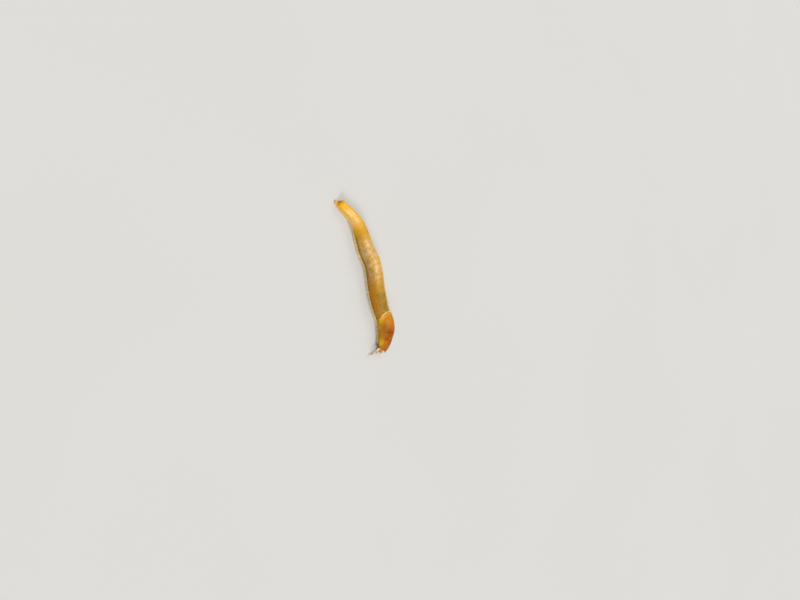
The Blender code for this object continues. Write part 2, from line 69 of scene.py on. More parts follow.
# The back's outer form without the mantle: half its width and its height at a station.
HALF_WIDTHS = ((3, 4.2), (10, 4.1), (20, 4.8), (35, 6.9), (55, 8.1), (75, 8.8), (95, 8.8), (115, 8.6),
               (130, 8.0), (145, 8.7), (153, 8.0), (160, 6.9), (168, 4.8))
HEIGHTS = ((3, 8.2), (10, 8.2), (20, 9.0), (35, 10.9), (55, 12.6), (75, 14.1), (95, 14.1), (115, 14.1),
           (130, 12.8), (145, 13.2), (153, 11.3), (160, 8.9), (168, 5.8))
GREATEST_HALF_WIDTH = max(half_width for _, half_width in HALF_WIDTHS)
WIDEST_AT = 0.36  # share of the height above the groove where a section is widest
GROOVE_INSET = 0.87  # half width at the pedal groove, as a share of the widest
DOME_SHARE = 0.72  # share of the way from back to groove that lies above the widest point
DOME_POWER = 2.1  # 2 is an ellipse, and more is squarer
KEEL_HEIGHT = 0.55  # the ridge along the back of the tail
KEEL_SPREAD = 0.16  # half its width, as a share of the way from back to groove
KEEL_FADES = (30.0, 75.0)  # stations between which it dies out
CORE_HEIGHT = 0.4  # the line inside the back that skins are set out from, as a share of the height
CORE_CLEAR = 0.2  # mm that every point keeps from that line
BACK_END = 3.6  # the back ends here, above the foot's tip
BACK_FRONT = 157.0  # it ends here under the mantle
BACK_ROUNDS = (3.5, 4.0)
BACK_BASE = 1.3  # its underside, sunk in the foot
BACK_CURL = 0.09  # how far the flank curls in above the groove, as a share of its width
BACK_CURL_STARTS = 0.88  # the share of the way down to the groove where that sets in
BACK_TURN = 0.88  # share of a turn round the back that its outside takes
UNDERSIDE_TURN = 0.25  # share of the turn under it in which it drops to its base
BACK_SIDE = 16.0  # mm over the skin from the middle of the back to the pedal groove

# The back's relief. Shares are of a tubercle's height.
TUBERCLE_LEAN = 0.3  # their rows lean back by this share of their way down the side
TUBERCLE_SLOPE = 0.42  # how deep inside a tubercle its flat top starts
TUBERCLE_SINK = 0.75  # share by which the furrows lie under the back's form
TUBERCLE_UNEVEN = 0.35  # share by which they differ
GROOVE_CLEAR = (0.9, 0.97)  # the relief dies out here on the way down to the groove
GROOVE_DARK = (0.975, 0.995)  # and here the groove's shade sets in
BACK_SWELL = 0.16  # height of the broad swellings under the tubercles
BACK_NOISE_SIDE = 10.0  # the noise is read on a floor plan of the back, this many mm to each side

# The foot under the body.
FOOT_HALF_WIDTHS = ((0, 1.5), (5, 3.2), (15, 5.0), (35, 6.2), (50, 9.0), (62, 9.3), (78, 8.4), (95, 8.7),
                    (115, 8.3), (127, 9.0), (148, 8.5), (155, 7.4), (160, 6.2), (165, 4.6))
FOOT_HEIGHT = 2.2  # the pedal groove's height
FOOT_FRONT = 165.5
FOOT_ROUNDS = (2.5, 4.0)
TAIL_TIP_HEIGHT = 1.1  # the foot thins to this at its very tip
TAIL_TIP_ASIDE = 1.4  # the tip lies this far right of the path
TAIL_TIP_LONG = 8.0  # the tip is that much thinner and further aside up to this station
BRIM_HEIGHT = 0.6  # where the fringe reaches furthest out
SOLE_INSET = 0.4  # from the brim in to the edge of the flat sole
SOLE_INSET_SHARE = 0.3  # but at most this share of the brim's half width
FRINGE_INSET = 0.93  # the pedal groove is at most this share of the brim's half width
SOLE_TURN = 0.22  # share of a turn round the foot up to the sole's edge
LIP_TURN = 0.82  # share up to the inner end of the fringe
FRINGE_POWER = 0.75  # how hollow the fringe's slope is from the groove to the brim
FOOT_INNER_RISE = 0.1  # how far the foot's top rises inside the groove
FOOT_END_HEIGHT = 0.35  # share of its height that is left at its very ends
FOOT_SIDE = 20.0  # mm over the skin from the middle of the sole round to the middle of the top
FOLD_SLOPE = 0.5  # how deep inside a fold its flat top starts
FOLD_SINK = 0.7  # share of a fold's depth by which the furrows lie in
FOLD_POWER = 0.7  # how fast the folds die out towards the sole and the groove
FOLD_SHIFT = 40.0  # the left side's folds are read this far ahead, and the right side's this far behind
FOLD_ROW = 50.0  # the length of a fold's cell, so that none ends on the fringe
FOOT_WAVE = 0.14  # how far the brim waves in and out
FOOT_WAVE_SHIFT = 30.0  # mm to each side at which the brim reads its waves
FOOT_EDGE = (-1.5, -1.2)  # the fringe's lean, in radians, where the sole's colour ends
FOOT_GROOVE_DARK = (1.4, 1.56)  # and where the groove's shade sets in
FOOT_GOLD_ENDS = (34, 6)  # stations: its tip is gold
FOLD_FURROW_SHADE = 0.7  # how dark the painted shade in the furrows between its folds is
FOOT_WET = 0.5  # how wet it is, from 0 to 1, which also sets its painted milky sheen

# The mantle, an oval shield over the front of the back, free at its edge.
MANTLE_CENTRE = 147.0
MANTLE_REAR = 20.0  # from its centre to its rear edge
MANTLE_LAG = 3.0  # but less by this on the left, where the body's bend draws it forwards
MANTLE_LAG_GIRTHS = (-10.0, 60.0)  # degrees of girth between which that sets in
MANTLE_FORE = 20.5  # from its centre to its front edge
MANTLE_GIRTH = 138.0  # degrees from the middle of the back down to its side edge
MANTLE_POWERS = (2.0, 2.4)  # behind and before its centre: 2 is an ellipse, and more is squarer
MANTLE_PROUD = 0.65  # how far it stands out of the back behind it
MANTLE_THICK = 1.3
MANTLE_LIP = 0.035  # the share of its reach that its rounded edge takes
MANTLE_TOP_FLOW = 0.88  # share of the blank's quarter turn that its face takes
MANTLE_BALL = 20.0  # radius of the ball that it is laid from
MANTLE_SEGMENTS = 284
MANTLE_RINGS = 118
MANTLE_SIDE = 12.5  # mm over the skin for a quarter turn of girth
GRAIN_STRETCH = 1.25  # how much longer than wide a grain is
GRAIN_SLOPE = 0.5  # how deep inside a grain its flat top starts
GRAIN_SINK = 0.7  # share of their height by which the furrows lie under the mantle's form
GRAIN_UNEVEN = 0.3  # share by which they differ
MANTLE_FOLD = 0.07  # height of its soft folds
MANTLE_FOLD_SPAN = (1.0, 0.45, 1.0)  # they run across the mantle
MANTLE_SWELL = 0.12  # height of its broad swellings
MANTLE_EDGE_CLEAR = (0.93, 0.99)  # the relief dies out here, in shares of its reach

# The breathing pore, in the right side of the mantle.
PORE_STATION = 143.5
PORE_GIRTH = -98.0  # degrees of girth, so on the right
PORE_SLANT = 38.0  # degrees that it rises forwards
PORE_RADII = (0.9, 0.22, 0.6)  # half the slit's length, width and depth
PORE_LIPS = (2.8, 1.7)  # half the length and width of the lips round it
PORE_EDGE = 4  # how sharply both end, where 2 is a soft bell
PORE_SWELL = 0.35  # height of the lips
PORE_LIFT = 0.3  # the hollow's middle, above the mantle's face
PORE_SIGHT = -1.0  # the pore faces away from a point this far out of the back's form, so inside it

# The mucus pit, a notch in the blunt end of the back.
PIT_RADII = (2.0, 0.8, 1.7)
# Painted shade in the pit's notch.
PIT_PAINTED_SHADE = 0.5

# The head, mostly drawn in under the mantle.
HEAD_START = 148.0
HEAD_TIP = 169.4
HEAD_ROUND = 5.5  # how long its round front end is
HEAD_HALF_WIDTHS = ((152, 6.8), (160, 5.8), (165, 5.2), (170, 4.7))
HEAD_TOPS = ((152, 10.0), (160, 7.2), (164, 5.8), (167, 4.4), (170, 3.6))
CHIN_STATIONS = (165.9, 166.7)  # in front of the foot the head comes down to the chin
CHIN_HEIGHT = 1.0
HEAD_BASE = 1.4  # its underside, sunk in the foot
HEAD_TURN = 0.85  # share of a turn round the head that its outside takes
HEAD_SIDE = 9.0  # mm over the skin from the middle of its top to its lower edge
HEAD_FOLD_SPAN = 0.5  # its folds are twice as long as wide
HEAD_GRAIN = (0.95, 0.8)  # length and width of a grain
HEAD_RELIEF = 0.02  # height of its folds and grains, as a share of its thickness
HEAD_SHADE_ENDS = (168, 160)  # stations between which the shade under the mantle's front sets in
HEAD_SHADE = 0.6
HEAD_MANTLE_SHARE = 0.4  # the head's colour is partly the mantle's
HEAD_FEELER_SHARE = 0.25  # and partly the feelers'
HEAD_ZONES = (HEAD_MANTLE_SHARE, 0, HEAD_FEELER_SHARE)
HEAD_TINTS = (0.2, 0.3)  # how gold it is, and how olive or deep orange
HEAD_ORANGE = 0.5
# How wet the head is, which also sets its painted milky sheen.
HEAD_WET = 0.3
MOUTH_HEIGHT = 2.4
MOUTH_RADII = (2.0, 1.7, 0.3)
LOBE_RADII = (1.6, 1.4, 1.0)
LOBE_BACK = 1.7
LOBE_HEIGHT = 2.0
LOBE_SPREAD = 1.6

# Feelers: where each is rooted (station, mm to the left, mm up), the way it points (degrees left of
# the path there, degrees up), how far it stands out of its root, and its half thicknesses.
FEELERS = {
    "upper_tentacle_right": {"root": (166.0, -2.4, 4.0), "turn": -29, "rise": 0, "length": 12.6,
                             "base": 1.05, "neck": 0.74, "knob": 0.88, "bend": -6},
    "upper_tentacle_left": {"root": (163.9, 4.4, 4.2), "turn": 12, "rise": 6, "length": 1.9,
                            "base": 1.1, "neck": 0.95, "knob": 1.0, "bend": 0},
    "lower_tentacle_right": {"root": (166.8, -2.5, 2.2), "turn": 5, "rise": -6, "length": 3.4,
                             "base": 0.75, "neck": 0.62, "knob": 0.66, "bend": 0},
    "lower_tentacle_left": {"root": (166.2, 2.5, 2.2), "turn": 6, "rise": -6, "length": 1.3,
                            "base": 0.75, "neck": 0.66, "knob": 0.66, "bend": 0},
}
FEELER_ROOT = 2.8  # how much of it lies inside the head
FEELER_TAPER = 0.87  # share of its length at which it has thinned to its neck
KNOB_STARTS = 3.2  # this many half thicknesses of the knob before the tip
KNOB_FULL = 1.2
FEELER_FLARE = 0.14  # how much wider a feeler is where it leaves the head
FEELER_FLARE_REACH = 0.6  # mm over which that dies out
FEELER_WRINKLES = (0.035, 0.62, 3.5)  # their height, how far apart they lie, and how soon they die out
WRINKLES_END = (0.8, 0.5)  # shares of its length between which the last of them end
FEELER_BLEND = 1.6  # mm over which the head's colours turn to the feeler's
FEELER_SIDE = 0.8  # mm over the skin for each radian of turn
LOWER_STALK = 0.6  # how much of the stalk's colour the lower ones take
TIP_STARTS = (0.68, 1.0)  # shares of its length between which the tip's colour sets in
PALE_BASE = 0.6  # how pale the base of a stalk is
PALE_STARTS = (0.2, 1.4)  # mm from the head between which that sets in
PALE_ENDS = (0.4, 0.12)  # shares of its length between which it ends
LONG_FEELER = 5.0  # a feeler longer than this is cut into more strips
EYE_RADIUS = 0.42
EYE_SUNK = 0.3  # from the feeler's tip back to the bead's centre
EYE_SEAT = 0.05  # the seat's radius is this much greater
EYE_LONG = 1.04  # the bead is this much longer than wide
# Painted shade in the hollow round the eye.
SEAT_PAINTED_SHADE = 0.6

FLESH = ("tail", "back_rear", "back_middle", "back_front", "shoulders", "head", "mantle",
         "foot_tail", "foot_rear", "foot_middle", "foot_front", "foot_toe",
         "upper_tentacle_right", "upper_tentacle_left", "lower_tentacle_right", "lower_tentacle_left")

# Hollow creases where forms were joined are smoothed.
CREASE_ANGLE = math.radians(18)  # only those that are sharper
CREASE_RINGS = 3  # rings of points beside them that move too
CREASE_PASSES = 4

# The tubes that are laid as skins: radius, columns round, and strips along, each cut into as many again.
BLANKS = {
    "back": (8.0, 132, (16, 19)),
    "foot": (8.0, 104, (18, 20)),
    "head": (5.0, 108, (8, 8)),
    "long_feeler": (1.0, 44, (6, 14)),
    "short_feeler": (1.0, 44, (4, 7)),
}
BALL_SEGMENTS = 48
BALL_RINGS = 24
BALL_TINTS = (0.2, 0.2)  # how gold it is, and how olive or deep orange

# Cells: how far rows and spots stray, in shares of a cell, and what is added to a draw for a spot's numbers.
ROW_STRAY = 0.3
CELL_STRAY = (0.5, 0.55)
CELL_DRAWS = (11, 23)
NOISE_STEP = 7.3  # lumps from one draw of soft noise to the next

# The random draws of cells, and the layers of soft noise: how many mm apart their lumps lie, and their draw.
TUBERCLE_DRAW = 1
HEAD_GRAIN_DRAW = 22
FOLD_DRAW = 31
GRAIN_DRAW = 41
BACK_SWELLS = (9.0, 3)
BACK_CLOUDS = (5.0, 5)
BACK_MOTTLES = (2.6, 6)
FOOT_WAVES = (5.0, 8)
MANTLE_FOLDS = (3.2, 12)
MANTLE_SWELLS = (7.0, 13)
MANTLE_CLOUDS = (6.0, 14)
MANTLE_SPOTS = (2.4, 15)
MANTLE_FINE_SPOTS = (1.2, 16)
RIM_HIGHLIGHT_BREAKS = (1.6, 17)
HEAD_FOLDS = (1.1, 21)

# Patches of colour on the back. Each has its strength, and then the places between which it sets in:
# stations, or degrees of girth to the left or right. Where the second number is the smaller, it dies out
# there. Patches of one name add up.
LEFT_SIDE_ENDS = (46, 16)  # girths between which the left side ends, plain gold that is partly painted light
BACK_PATCHES = {
    "gold": (
        (1.0,),
        (-0.7, ("station", 16, 42)),  # less of it in front of the tail
        (-0.23, ("station", 85, 122)),  # and a little less again up to the mantle
        (0.5, ("left", 16, 46)),  # but more on the left, partly its own colour and partly painted light
    ),
    "olive": (
        (0.36, ("station", 28, 46), ("left", *LEFT_SIDE_ENDS)),  # the back, but not its left side
        (0.75, ("station", 88, 120), ("left", 42, 12)),  # the saddle behind the mantle
        (0.3, ("right", 92, 120), ("station", 30, 60)),  # low on the right flank, partly mottling and partly painted shade
        (0.4, ("right", 30, 65), ("station", 34, 60), ("station", 108, 85)),  # the right side's middle, partly mottling and partly painted shade
    ),
    "orange": (
        (1.0, ("right", 34, 60), ("right", 112, 90), ("station", 62, 98)),  # the stripe along the right flank, partly its own colour and partly painted shade
        (0.4, ("left", 16, 46), ("station", 80, 110)),  # the left side's front
    ),
    "wet_and_sheen": (  # where the mucus lies thick, with a painted milky sheen: over the middle of the back, and over the tail
        (1.0, ("station", 44, 58), ("station", 102, 84), ("left", 45, 15), ("right", 105, 75)),
        (1.0, ("station", 6, 18), ("station", 40, 28), ("right", -30, 15)),
    ),
}
BACK_CLOUD_GOLD = 0.12
BACK_CLOUD_OLIVE = 0.1
BACK_MOTTLE_OLIVE = 0.3
BACK_MOTTLE_STARTS = (36, 60)
GROOVE_SHADE = 0.25  # how dark the pedal groove is

# Those on the mantle, where share runs from 0 at its centre to 1 at its edge.
MANTLE_PATCHES = {
    "gold": (
        (0.55, ("right", 20, 85)),  # the right side
        (0.8, ("share", 0.5, 0.9), ("station", 145, 133)),  # the lit rear
    ),
    "orange": (
        (1.0, ("left", -74, -8), ("station", 127, 136)),  # the top, and from there down the left
        (-0.2, ("left", -74, -8), ("station", 127, 136), ("left", 45, 100)),
    ),
    "deep": (
        (1.0, ("left", -60, -15), ("station", 138, 149)),  # the front half of that
        (-0.7, ("left", -60, -15), ("station", 138, 149), ("left", 30, 80)),
    ),
    # And some of it lower on the right, partly its own colour and partly painted shade, but for the light
    # patch before the pore.
    "low_deep": ((0.4, ("left", -115, -85), ("left", -15, -60), ("station", 138, 146)),),
    # A painted highlight along the rear edge, as a pale rim.
    "rim": ((1.0, ("share", 0.945, 0.975), ("station", 145, 133), ("left", -95, -30), ("left", 40, 5)),),
}
FRONT_LIGHT = (162.5, -48.0)  # the middle of the light patch before the pore, as station and girth
FRONT_LIGHT_REACH = (5.5, 52.0)
FRONT_LIGHT_SHARES = {"gold": 0.65, "orange": 0.7, "deep": 0.8}  # it adds gold, and takes the others away
RIM_HIGHLIGHT_BREAK_ENDS = (-0.75, 0.1)  # the painted highlight on the rim is broken between these values of its noise
# How strong the painted highlight on the rear rim is.
RIM_HIGHLIGHT = 0.9
LIPS_PALE = 0.4
# Painted shade in the pore's slit.
SLIT_PAINTED_SHADE = 0.5
UNDER_SHADE = 0.6  # the rounded edge turns dark between a face of 1 - this and one of -this
FINE_SPOTS_SHARE = 0.5
# What each colour is multiplied by: plain, and more for clouds and for spots. To gold it is added.
MANTLE_MOTTLE = {"gold": (0.0, 0.2, 0.25), "orange": (0.9, 0.2, 0.45), "deep": (0.7, 0.35, 0.6)}
ORANGE_SPOTS = 0.1  # spots of orange all over the mantle

# Patterns in the skin's material: how far apart their spots lie, in metres.
BLOTCH_SIZE = 0.006
FLECK_SIZE = 0.0013
POOL_SIZE = 0.004
FILM_SIZE = 0.0022
EYE_CLOUD_SIZE = 0.0002
FLOOR_CLOUD_SIZE = 0.3
GRAIN_CELL = (0.75, 0.5)  # mm along and across the skin, coarser than life so that it shows
FRINGE_LINE = (0.7, 14.0)  # mm between the lines, and their length
BUMP_HEIGHT = 0.00004
RIPPLE_HEIGHT = 0.0016  # of the mucus, which breaks up its highlights

# The painted layers, and what their red, green and blue say. On the mantle olive means deep orange, and on
# the foot it means the sole.
# Furrow and dark are painted shade in furrows, grooves and hollows, and pale is partly a painted highlight.
LAYERS = {
    "zones": ("mantle", "foot", "feeler"),
    "tints": ("furrow", "gold", "olive"),
    "marks": ("orange", "pale", "dark"),
}

# Settings of nodes that mix and reckon, and the numbers of a colour Mix node's inputs.
COLOURS = {"data_type": "RGBA"}
DARKEN = {"data_type": "RGBA", "blend_type": "MULTIPLY"}
SHARE, FIRST, SECOND = 0, 6, 7
TIMES = {"operation": "MULTIPLY"}
TIMES_PLUS = {"operation": "MULTIPLY_ADD"}
TAKE = {"operation": "SUBTRACT"}

# How much of each colour goes on at most, and how far blotches move some of the shares.
BLOTCH_GOLD = 0.3
BLOTCH_ORANGE = 0.2
BLOTCH_OLIVE = 0.25
FLANK_SHARE = 0.8
MANTLE_GOLD_SHARE = 0.7
FRINGE_FLECK_SHARE = 0.35
FRINGE_GOLD_SHARE = 0.8
FLECK_SHARE = 0.22
# Painted milky sheen where the mucus lies thick, at most.
MILKY_SHEEN_SHARE = 0.6
# Painted shade in the furrows, at most.
FURROW_SHADE_SHARE = 0.5
DRY_COAT = 0.07  # the film's weight where the skin isn't wet
FILM_BUMP = 0.8

# The stage: each soft lamp's name, the way to it, how many degrees across it looks and its strength.
LAMPS = (("top_light", (0.03, 0.12, 1.0), 28.0, 1.3), ("left_light", (-0.3, 0.76, 0.6), 30.0, 0.7),
         ("front_light", (0.66, -0.53, 0.54), 22.0, 1.6))
FLOOR_SIDES = 96
FLOOR_RADIUS = 9.0  # in metres, as are the next two
FLOOR_INSET = 2.0
FLOOR_DROP = 0.00005  # just under the sole
ROOM_COLOUR = "#e6e6e4"
ROOM_STRENGTH = 0.52

# The camera, as the photograph's: how high it looks from, how far round, its roll, and its place.
FRAME_SIZE = (800, 600)  # in pixels
SENSOR_WIDTH = 36.0
CAMERA_LENS = 35.0
CAMERA_RISE = 45.0
CAMERA_SWING = 10.0
CAMERA_ROLL = 15.0
CAMERA_DISTANCE = 780.0
CAMERA_CLIP = 0.01  # in metres
AIM_POINT = (5.5, -12.0, 6.0)  # this point of the slug
AIM_PIXEL = (367.0, 277.0)  # is seen here in that frame


def linear(code):
    """The linear colour of an sRGB hex code."""
    shares = [int(code[n:n + 2], 16) / 255 for n in (1, 3, 5)]
    return tuple(s / 12.92 if s <= 0.04045 else ((s + 0.055) / 1.055) ** 2.4 for s in shares)


def eased(knots, at):
    """The value at a place between knots, on a smooth curve that never overshoots them."""
    if at <= knots[0][0]:
        return knots[0][1]
    if at >= knots[-1][0]:
        return knots[-1][1]
    steps = [b[0] - a[0] for a, b in zip(knots, knots[1:])]
    slopes = [(b[1] - a[1]) / step for a, b, step in zip(knots, knots[1:], steps)]
    i = next(n for n in range(len(steps)) if at <= knots[n + 1][0])

    def tangent(n):
        before, after = slopes[max(n - 1, 0)], slopes[min(n, len(slopes) - 1)]
        return 0.0 if before * after <= 0 else 2 * before * after / (before + after)

    t = (at - knots[i][0]) / steps[i]
    rise = knots[i + 1][1] - knots[i][1]
    start, end = tangent(i) * steps[i], tangent(i + 1) * steps[i]
    return knots[i][1] + t * (start + t * ((3 * rise - 2 * start - end) + t * (start + end - 2 * rise)))


GRID = np.arange(*PATH_ENDS, PATH_STEP)


def curve_at(knots, station):
    """The values of an eased curve at many stations."""
    return np.interp(station, GRID, [eased(knots, at) for at in GRID])


def walk_path():
    """The path's points on the ground at the stations of GRID, with the origin at ORIGIN_STATION."""
    headings = np.radians([eased(HEADINGS, at + 0.5 * PATH_STEP) for at in GRID[:-1]])
    steps = PATH_STEP * np.stack([np.cos(headings), np.sin(headings)], axis=1)
    points = np.concatenate([np.zeros((1, 2)), np.cumsum(steps, axis=0)])
    start = [np.interp(ORIGIN_STATION, GRID, points[:, n]) for n in (0, 1)]
    return points - start


PATH = walk_path()
PATH_HEADINGS = np.radians([eased(HEADINGS, at) for at in GRID])


def fade(at, start, end):
    """0 on start's side, 1 on end's side, and smooth between them, whichever of the two is the greater."""
    t = np.clip((at - start) / (end - start), 0.0, 1.0)
    return t * t * (3 - 2 * t)


def place(station, left, up):
    """The points, in metres, at these stations, mm to the left of the path and mm above the floor."""
    station, left, up = np.broadcast_arrays(np.asarray(station, float), left, up)
    x, y = (np.interp(station, GRID, PATH[:, n]) for n in (0, 1))
    heading = np.interp(station, GRID, PATH_HEADINGS)
    return np.stack([x - left * np.sin(heading), y + left * np.cos(heading), up], axis=-1) * MM


def pointing(station, turn, rise):
    """The unit vector that points turn degrees left of the path at a station, and rise degrees up."""
    heading, up = math.radians(eased(HEADINGS, station) + turn), math.radians(rise)
    return np.array([math.cos(heading) * math.cos(up), math.sin(heading) * math.cos(up), math.sin(up)])


def section_point(half_width, height, across, floor=FOOT_HEIGHT):
    """(left, up) on a section's dome. across runs from -1, the right pedal groove, over 0, the back."""
    side, way = np.where(across >= 0, 1.0, -1.0), np.abs(across)
    widest, groove = floor + WIDEST_AT * (height - floor), GROOVE_INSET * half_width
    upper = 0.5 * np.pi * np.clip(1 - way / DOME_SHARE, 0, 1)
    lower = 0.5 * np.pi * np.clip((way - DOME_SHARE) / (1 - DOME_SHARE), 0, 1)
    power = 2 / DOME_POWER
    above = way <= DOME_SHARE
    left = np.where(above, half_width * np.clip(np.cos(upper), 0, 1) ** power,
                    groove + (half_width - groove) * np.cos(lower))
    up = np.where(above, widest + (height - widest) * np.sin(upper) ** power,
                  widest - (widest - floor) * np.sin(lower))
    return side * left, up


def back_point(station, across, out=0.0):
    """(left, up) on the back's outer form, keel included, or out mm outside it away from its middle."""
    half_width, height = curve_at(HALF_WIDTHS, station), curve_at(HEIGHTS, station)
    left, up = section_point(half_width, height, across)
    keel = KEEL_HEIGHT * (1 - fade(station, *KEEL_FADES))
    up = up + keel * np.maximum(0.0, 1 - np.abs(across) / KEEL_SPREAD)
    middle = CORE_HEIGHT * height
    reach = np.hypot(left, up - middle)
    grown = np.maximum(reach + out, CORE_CLEAR) / reach
    return left * grown, middle + (up - middle) * grown


def girth_to_across(girth):
    """Degrees of girth from the middle of the back, as the across of section_point."""
    beyond = DOME_SHARE + (np.abs(girth) - 90) / 90 * (1 - DOME_SHARE)
    return np.where(np.abs(girth) <= 90, girth / 90 * DOME_SHARE, np.copysign(beyond, girth))


def across_to_girth(across):
    """The reverse of girth_to_across."""
    beyond = 90 + (np.abs(across) - DOME_SHARE) / (1 - DOME_SHARE) * 90
    return np.where(np.abs(across) <= DOME_SHARE, across / DOME_SHARE * 90, np.copysign(beyond, across))


def hashed(*cells):
    """A steady random number from 0 to 1 for each whole-numbered cell."""
    mixed = np.zeros(np.broadcast(*cells).shape, np.int64)
    for cell, prime in zip(cells, (73856093, 19349663, 83492791)):
        mixed = mixed ^ (np.asarray(cell, np.int64) * prime)
    mixed = (mixed & 0x7FFFFFFF) * 1103515245 + 12345
    mixed = ((mixed >> 11) & 0x7FFFFFFF) * 69069 + 1
    return ((mixed >> 9) & 0xFFFF) / 0xFFFF


def soft_noise(points, size, seed):
    """Smooth noise from -1 to 1 at points in mm, its lumps about size mm apart."""
    spots = np.asarray(points) / size + NOISE_STEP * seed
    cell = np.floor(spots).astype(np.int64)
    t = spots - cell
    t = t * t * (3 - 2 * t)
    total = 0.0
    for corner in np.ndindex(2, 2, 2):
        weight = np.prod([t[..., n] if corner[n] else 1 - t[..., n] for n in range(3)], axis=0)
        total = total + weight * hashed(*(cell[..., n] + corner[n] for n in range(3)))
    return 2 * total - 1


def cells(along, across, long, wide, seed):
    """Staggered cells, long by wide mm: how deep in its cell a point is, and that cell's random number."""
    x, y = along / long, across / wide
    nearest, second = np.full(x.shape, np.inf), np.full(x.shape, np.inf)
    own = np.zeros(x.shape)
    for j in (-1, 0, 1):
        row = np.floor(y) + j
        shift = 0.5 * np.mod(row, 2) + ROW_STRAY * hashed(row, seed)
        for i in (-1, 0, 1):
            column = np.floor(x - shift) + i
            number = hashed(column, row, seed + CELL_DRAWS[0])
            spot_x = column + shift + 0.5 + CELL_STRAY[0] * (number - 0.5)
            aside = hashed(column, row, seed + CELL_DRAWS[1]) - 0.5
            spot_y = row + 0.5 + CELL_STRAY[1] * aside
            away = np.hypot(x - spot_x, y - spot_y)
            closer = away < nearest
            second = np.where(closer, nearest, np.minimum(second, away))
            own = np.where(closer, number, own)
            nearest = np.where(closer, away, nearest)
    return second - nearest, own


def points_of(piece):
    """The points of a mesh object, in mm."""
    co = np.empty(len(piece.data.vertices) * 3, np.float32)
    piece.data.vertices.foreach_get("co", co)
    return co.reshape(-1, 3).astype(float) / MM


def set_points(piece, points):
    """Moves the points of a mesh object to these, in metres."""
    piece.data.vertices.foreach_set("co", np.asarray(points, np.float32).ravel())
    piece.data.update()


def paint(piece, **layers):
    """Stores values per point in corner layers: lie, in mm, as a UV map, and any other as a colour."""
    mesh = piece.data
    size = len(mesh.vertices)
    corner = np.empty(len(mesh.loops), np.int32)
    mesh.loops.foreach_get("vertex_index", corner)
    for name, columns in layers.items():
        columns = [np.broadcast_to(np.asarray(column, float), size) for column in columns]
        if name == "lie":
            values = np.stack(columns, axis=1) / LIE_SPAN + (0.0, 0.5)
            layer, kind = mesh.uv_layers[0], "uv"
            layer.name = name
        else:
            values = np.stack([*columns, np.ones(size)], axis=1)
            layer, kind = mesh.attributes.new(name, "FLOAT_COLOR", "CORNER"), "color"
        layer.data.foreach_set(kind, values[corner].astype(np.float32).ravel())


def tube_blank(name, kind, length, start):
    """A closed tube along X, as a blank to be laid in place, and blank_spots of its points."""
    radius, columns, strips = BLANKS[kind]
    bpy.ops.object.select_all(action="DESELECT")
    middle = (start + 0.5 * length - ORIGIN_STATION) * MM
    bpy.ops.mesh.primitive_cylinder_add(vertices=columns, radius=radius * MM, depth=length * MM,
                                        end_fill_type="TRIFAN", location=(middle, 0, 0),
                                        rotation=(0, math.pi / 2, 0))
    piece = bpy.context.object
    piece.name = name
    bpy.ops.object.transform_apply(location=True, rotation=True, scale=True)
    bpy.context.tool_settings.mesh_select_mode = (False, True, False)
    for count in strips:
        bpy.ops.object.mode_set(mode="EDIT")
        bpy.ops.mesh.select_all(action="DESELECT")
        bpy.ops.object.mode_set(mode="OBJECT")
        ends = np.empty(len(piece.data.edges) * 2, np.int32)
        piece.data.edges.foreach_get("vertices", ends)
        x = points_of(piece)[:, 0][ends.reshape(-1, 2)]
        piece.data.edges.foreach_set("select", np.abs(x[:, 0] - x[:, 1]) > NEAR)
        bpy.ops.object.mode_set(mode="EDIT")
        bpy.ops.mesh.subdivide(number_cuts=count - 1)
        bpy.ops.object.mode_set(mode="OBJECT")
    return piece, *blank_spots(piece, length, start, strips[0] * strips[1])


def blank_spots(piece, length, start, rows):
    """For each point its share of a tube blank's length, and its turn round it from the top to the left."""
    co = points_of(piece)
    share = (co[:, 0] + ORIGIN_STATION - start) / length
    pole = np.hypot(co[:, 1], co[:, 2]) < NEAR
    share = np.where(pole, np.round(share), (share * rows + 0.5) / (rows + 1))
    return np.clip(share, 0, 1), np.arctan2(co[:, 1], co[:, 2])


def along_round(share, start, end, first, last):
    """The stations of shares along a form, and how full it is there.

    The points crowd towards its ends, which are round over first and last mm.
    """
    first, last = max(first, 1e-6), max(last, 1e-6)
    arc, back_arc = 0.5 * np.pi * first, 0.5 * np.pi * last
    total = arc + (end - start - first - last) + back_arc
    way = share * total
    left = total - way
    turn, back_turn = np.minimum(way, arc) / first, np.minimum(left, back_arc) / last
    station = np.where(way < arc, start + first * (1 - np.cos(turn)), start + first + way - arc)
    station = np.where(left < back_arc, end - last * (1 - np.cos(back_turn)), station)
    full = np.minimum(np.sin(turn), np.sin(back_turn))
    return station, np.clip(full, 0.0, 1.0)


def patched(table, **places):
    """How strong each colour of a table of patches is, at points whose places are given by name."""
    strengths = {}
    for name, patches in table.items():
        total = 0.0
        for strength, *edges in patches:
            for scale, start, end in edges:
                strength = strength * fade(places[scale], start, end)
            total = total + strength
        strengths[name] = total
    return strengths


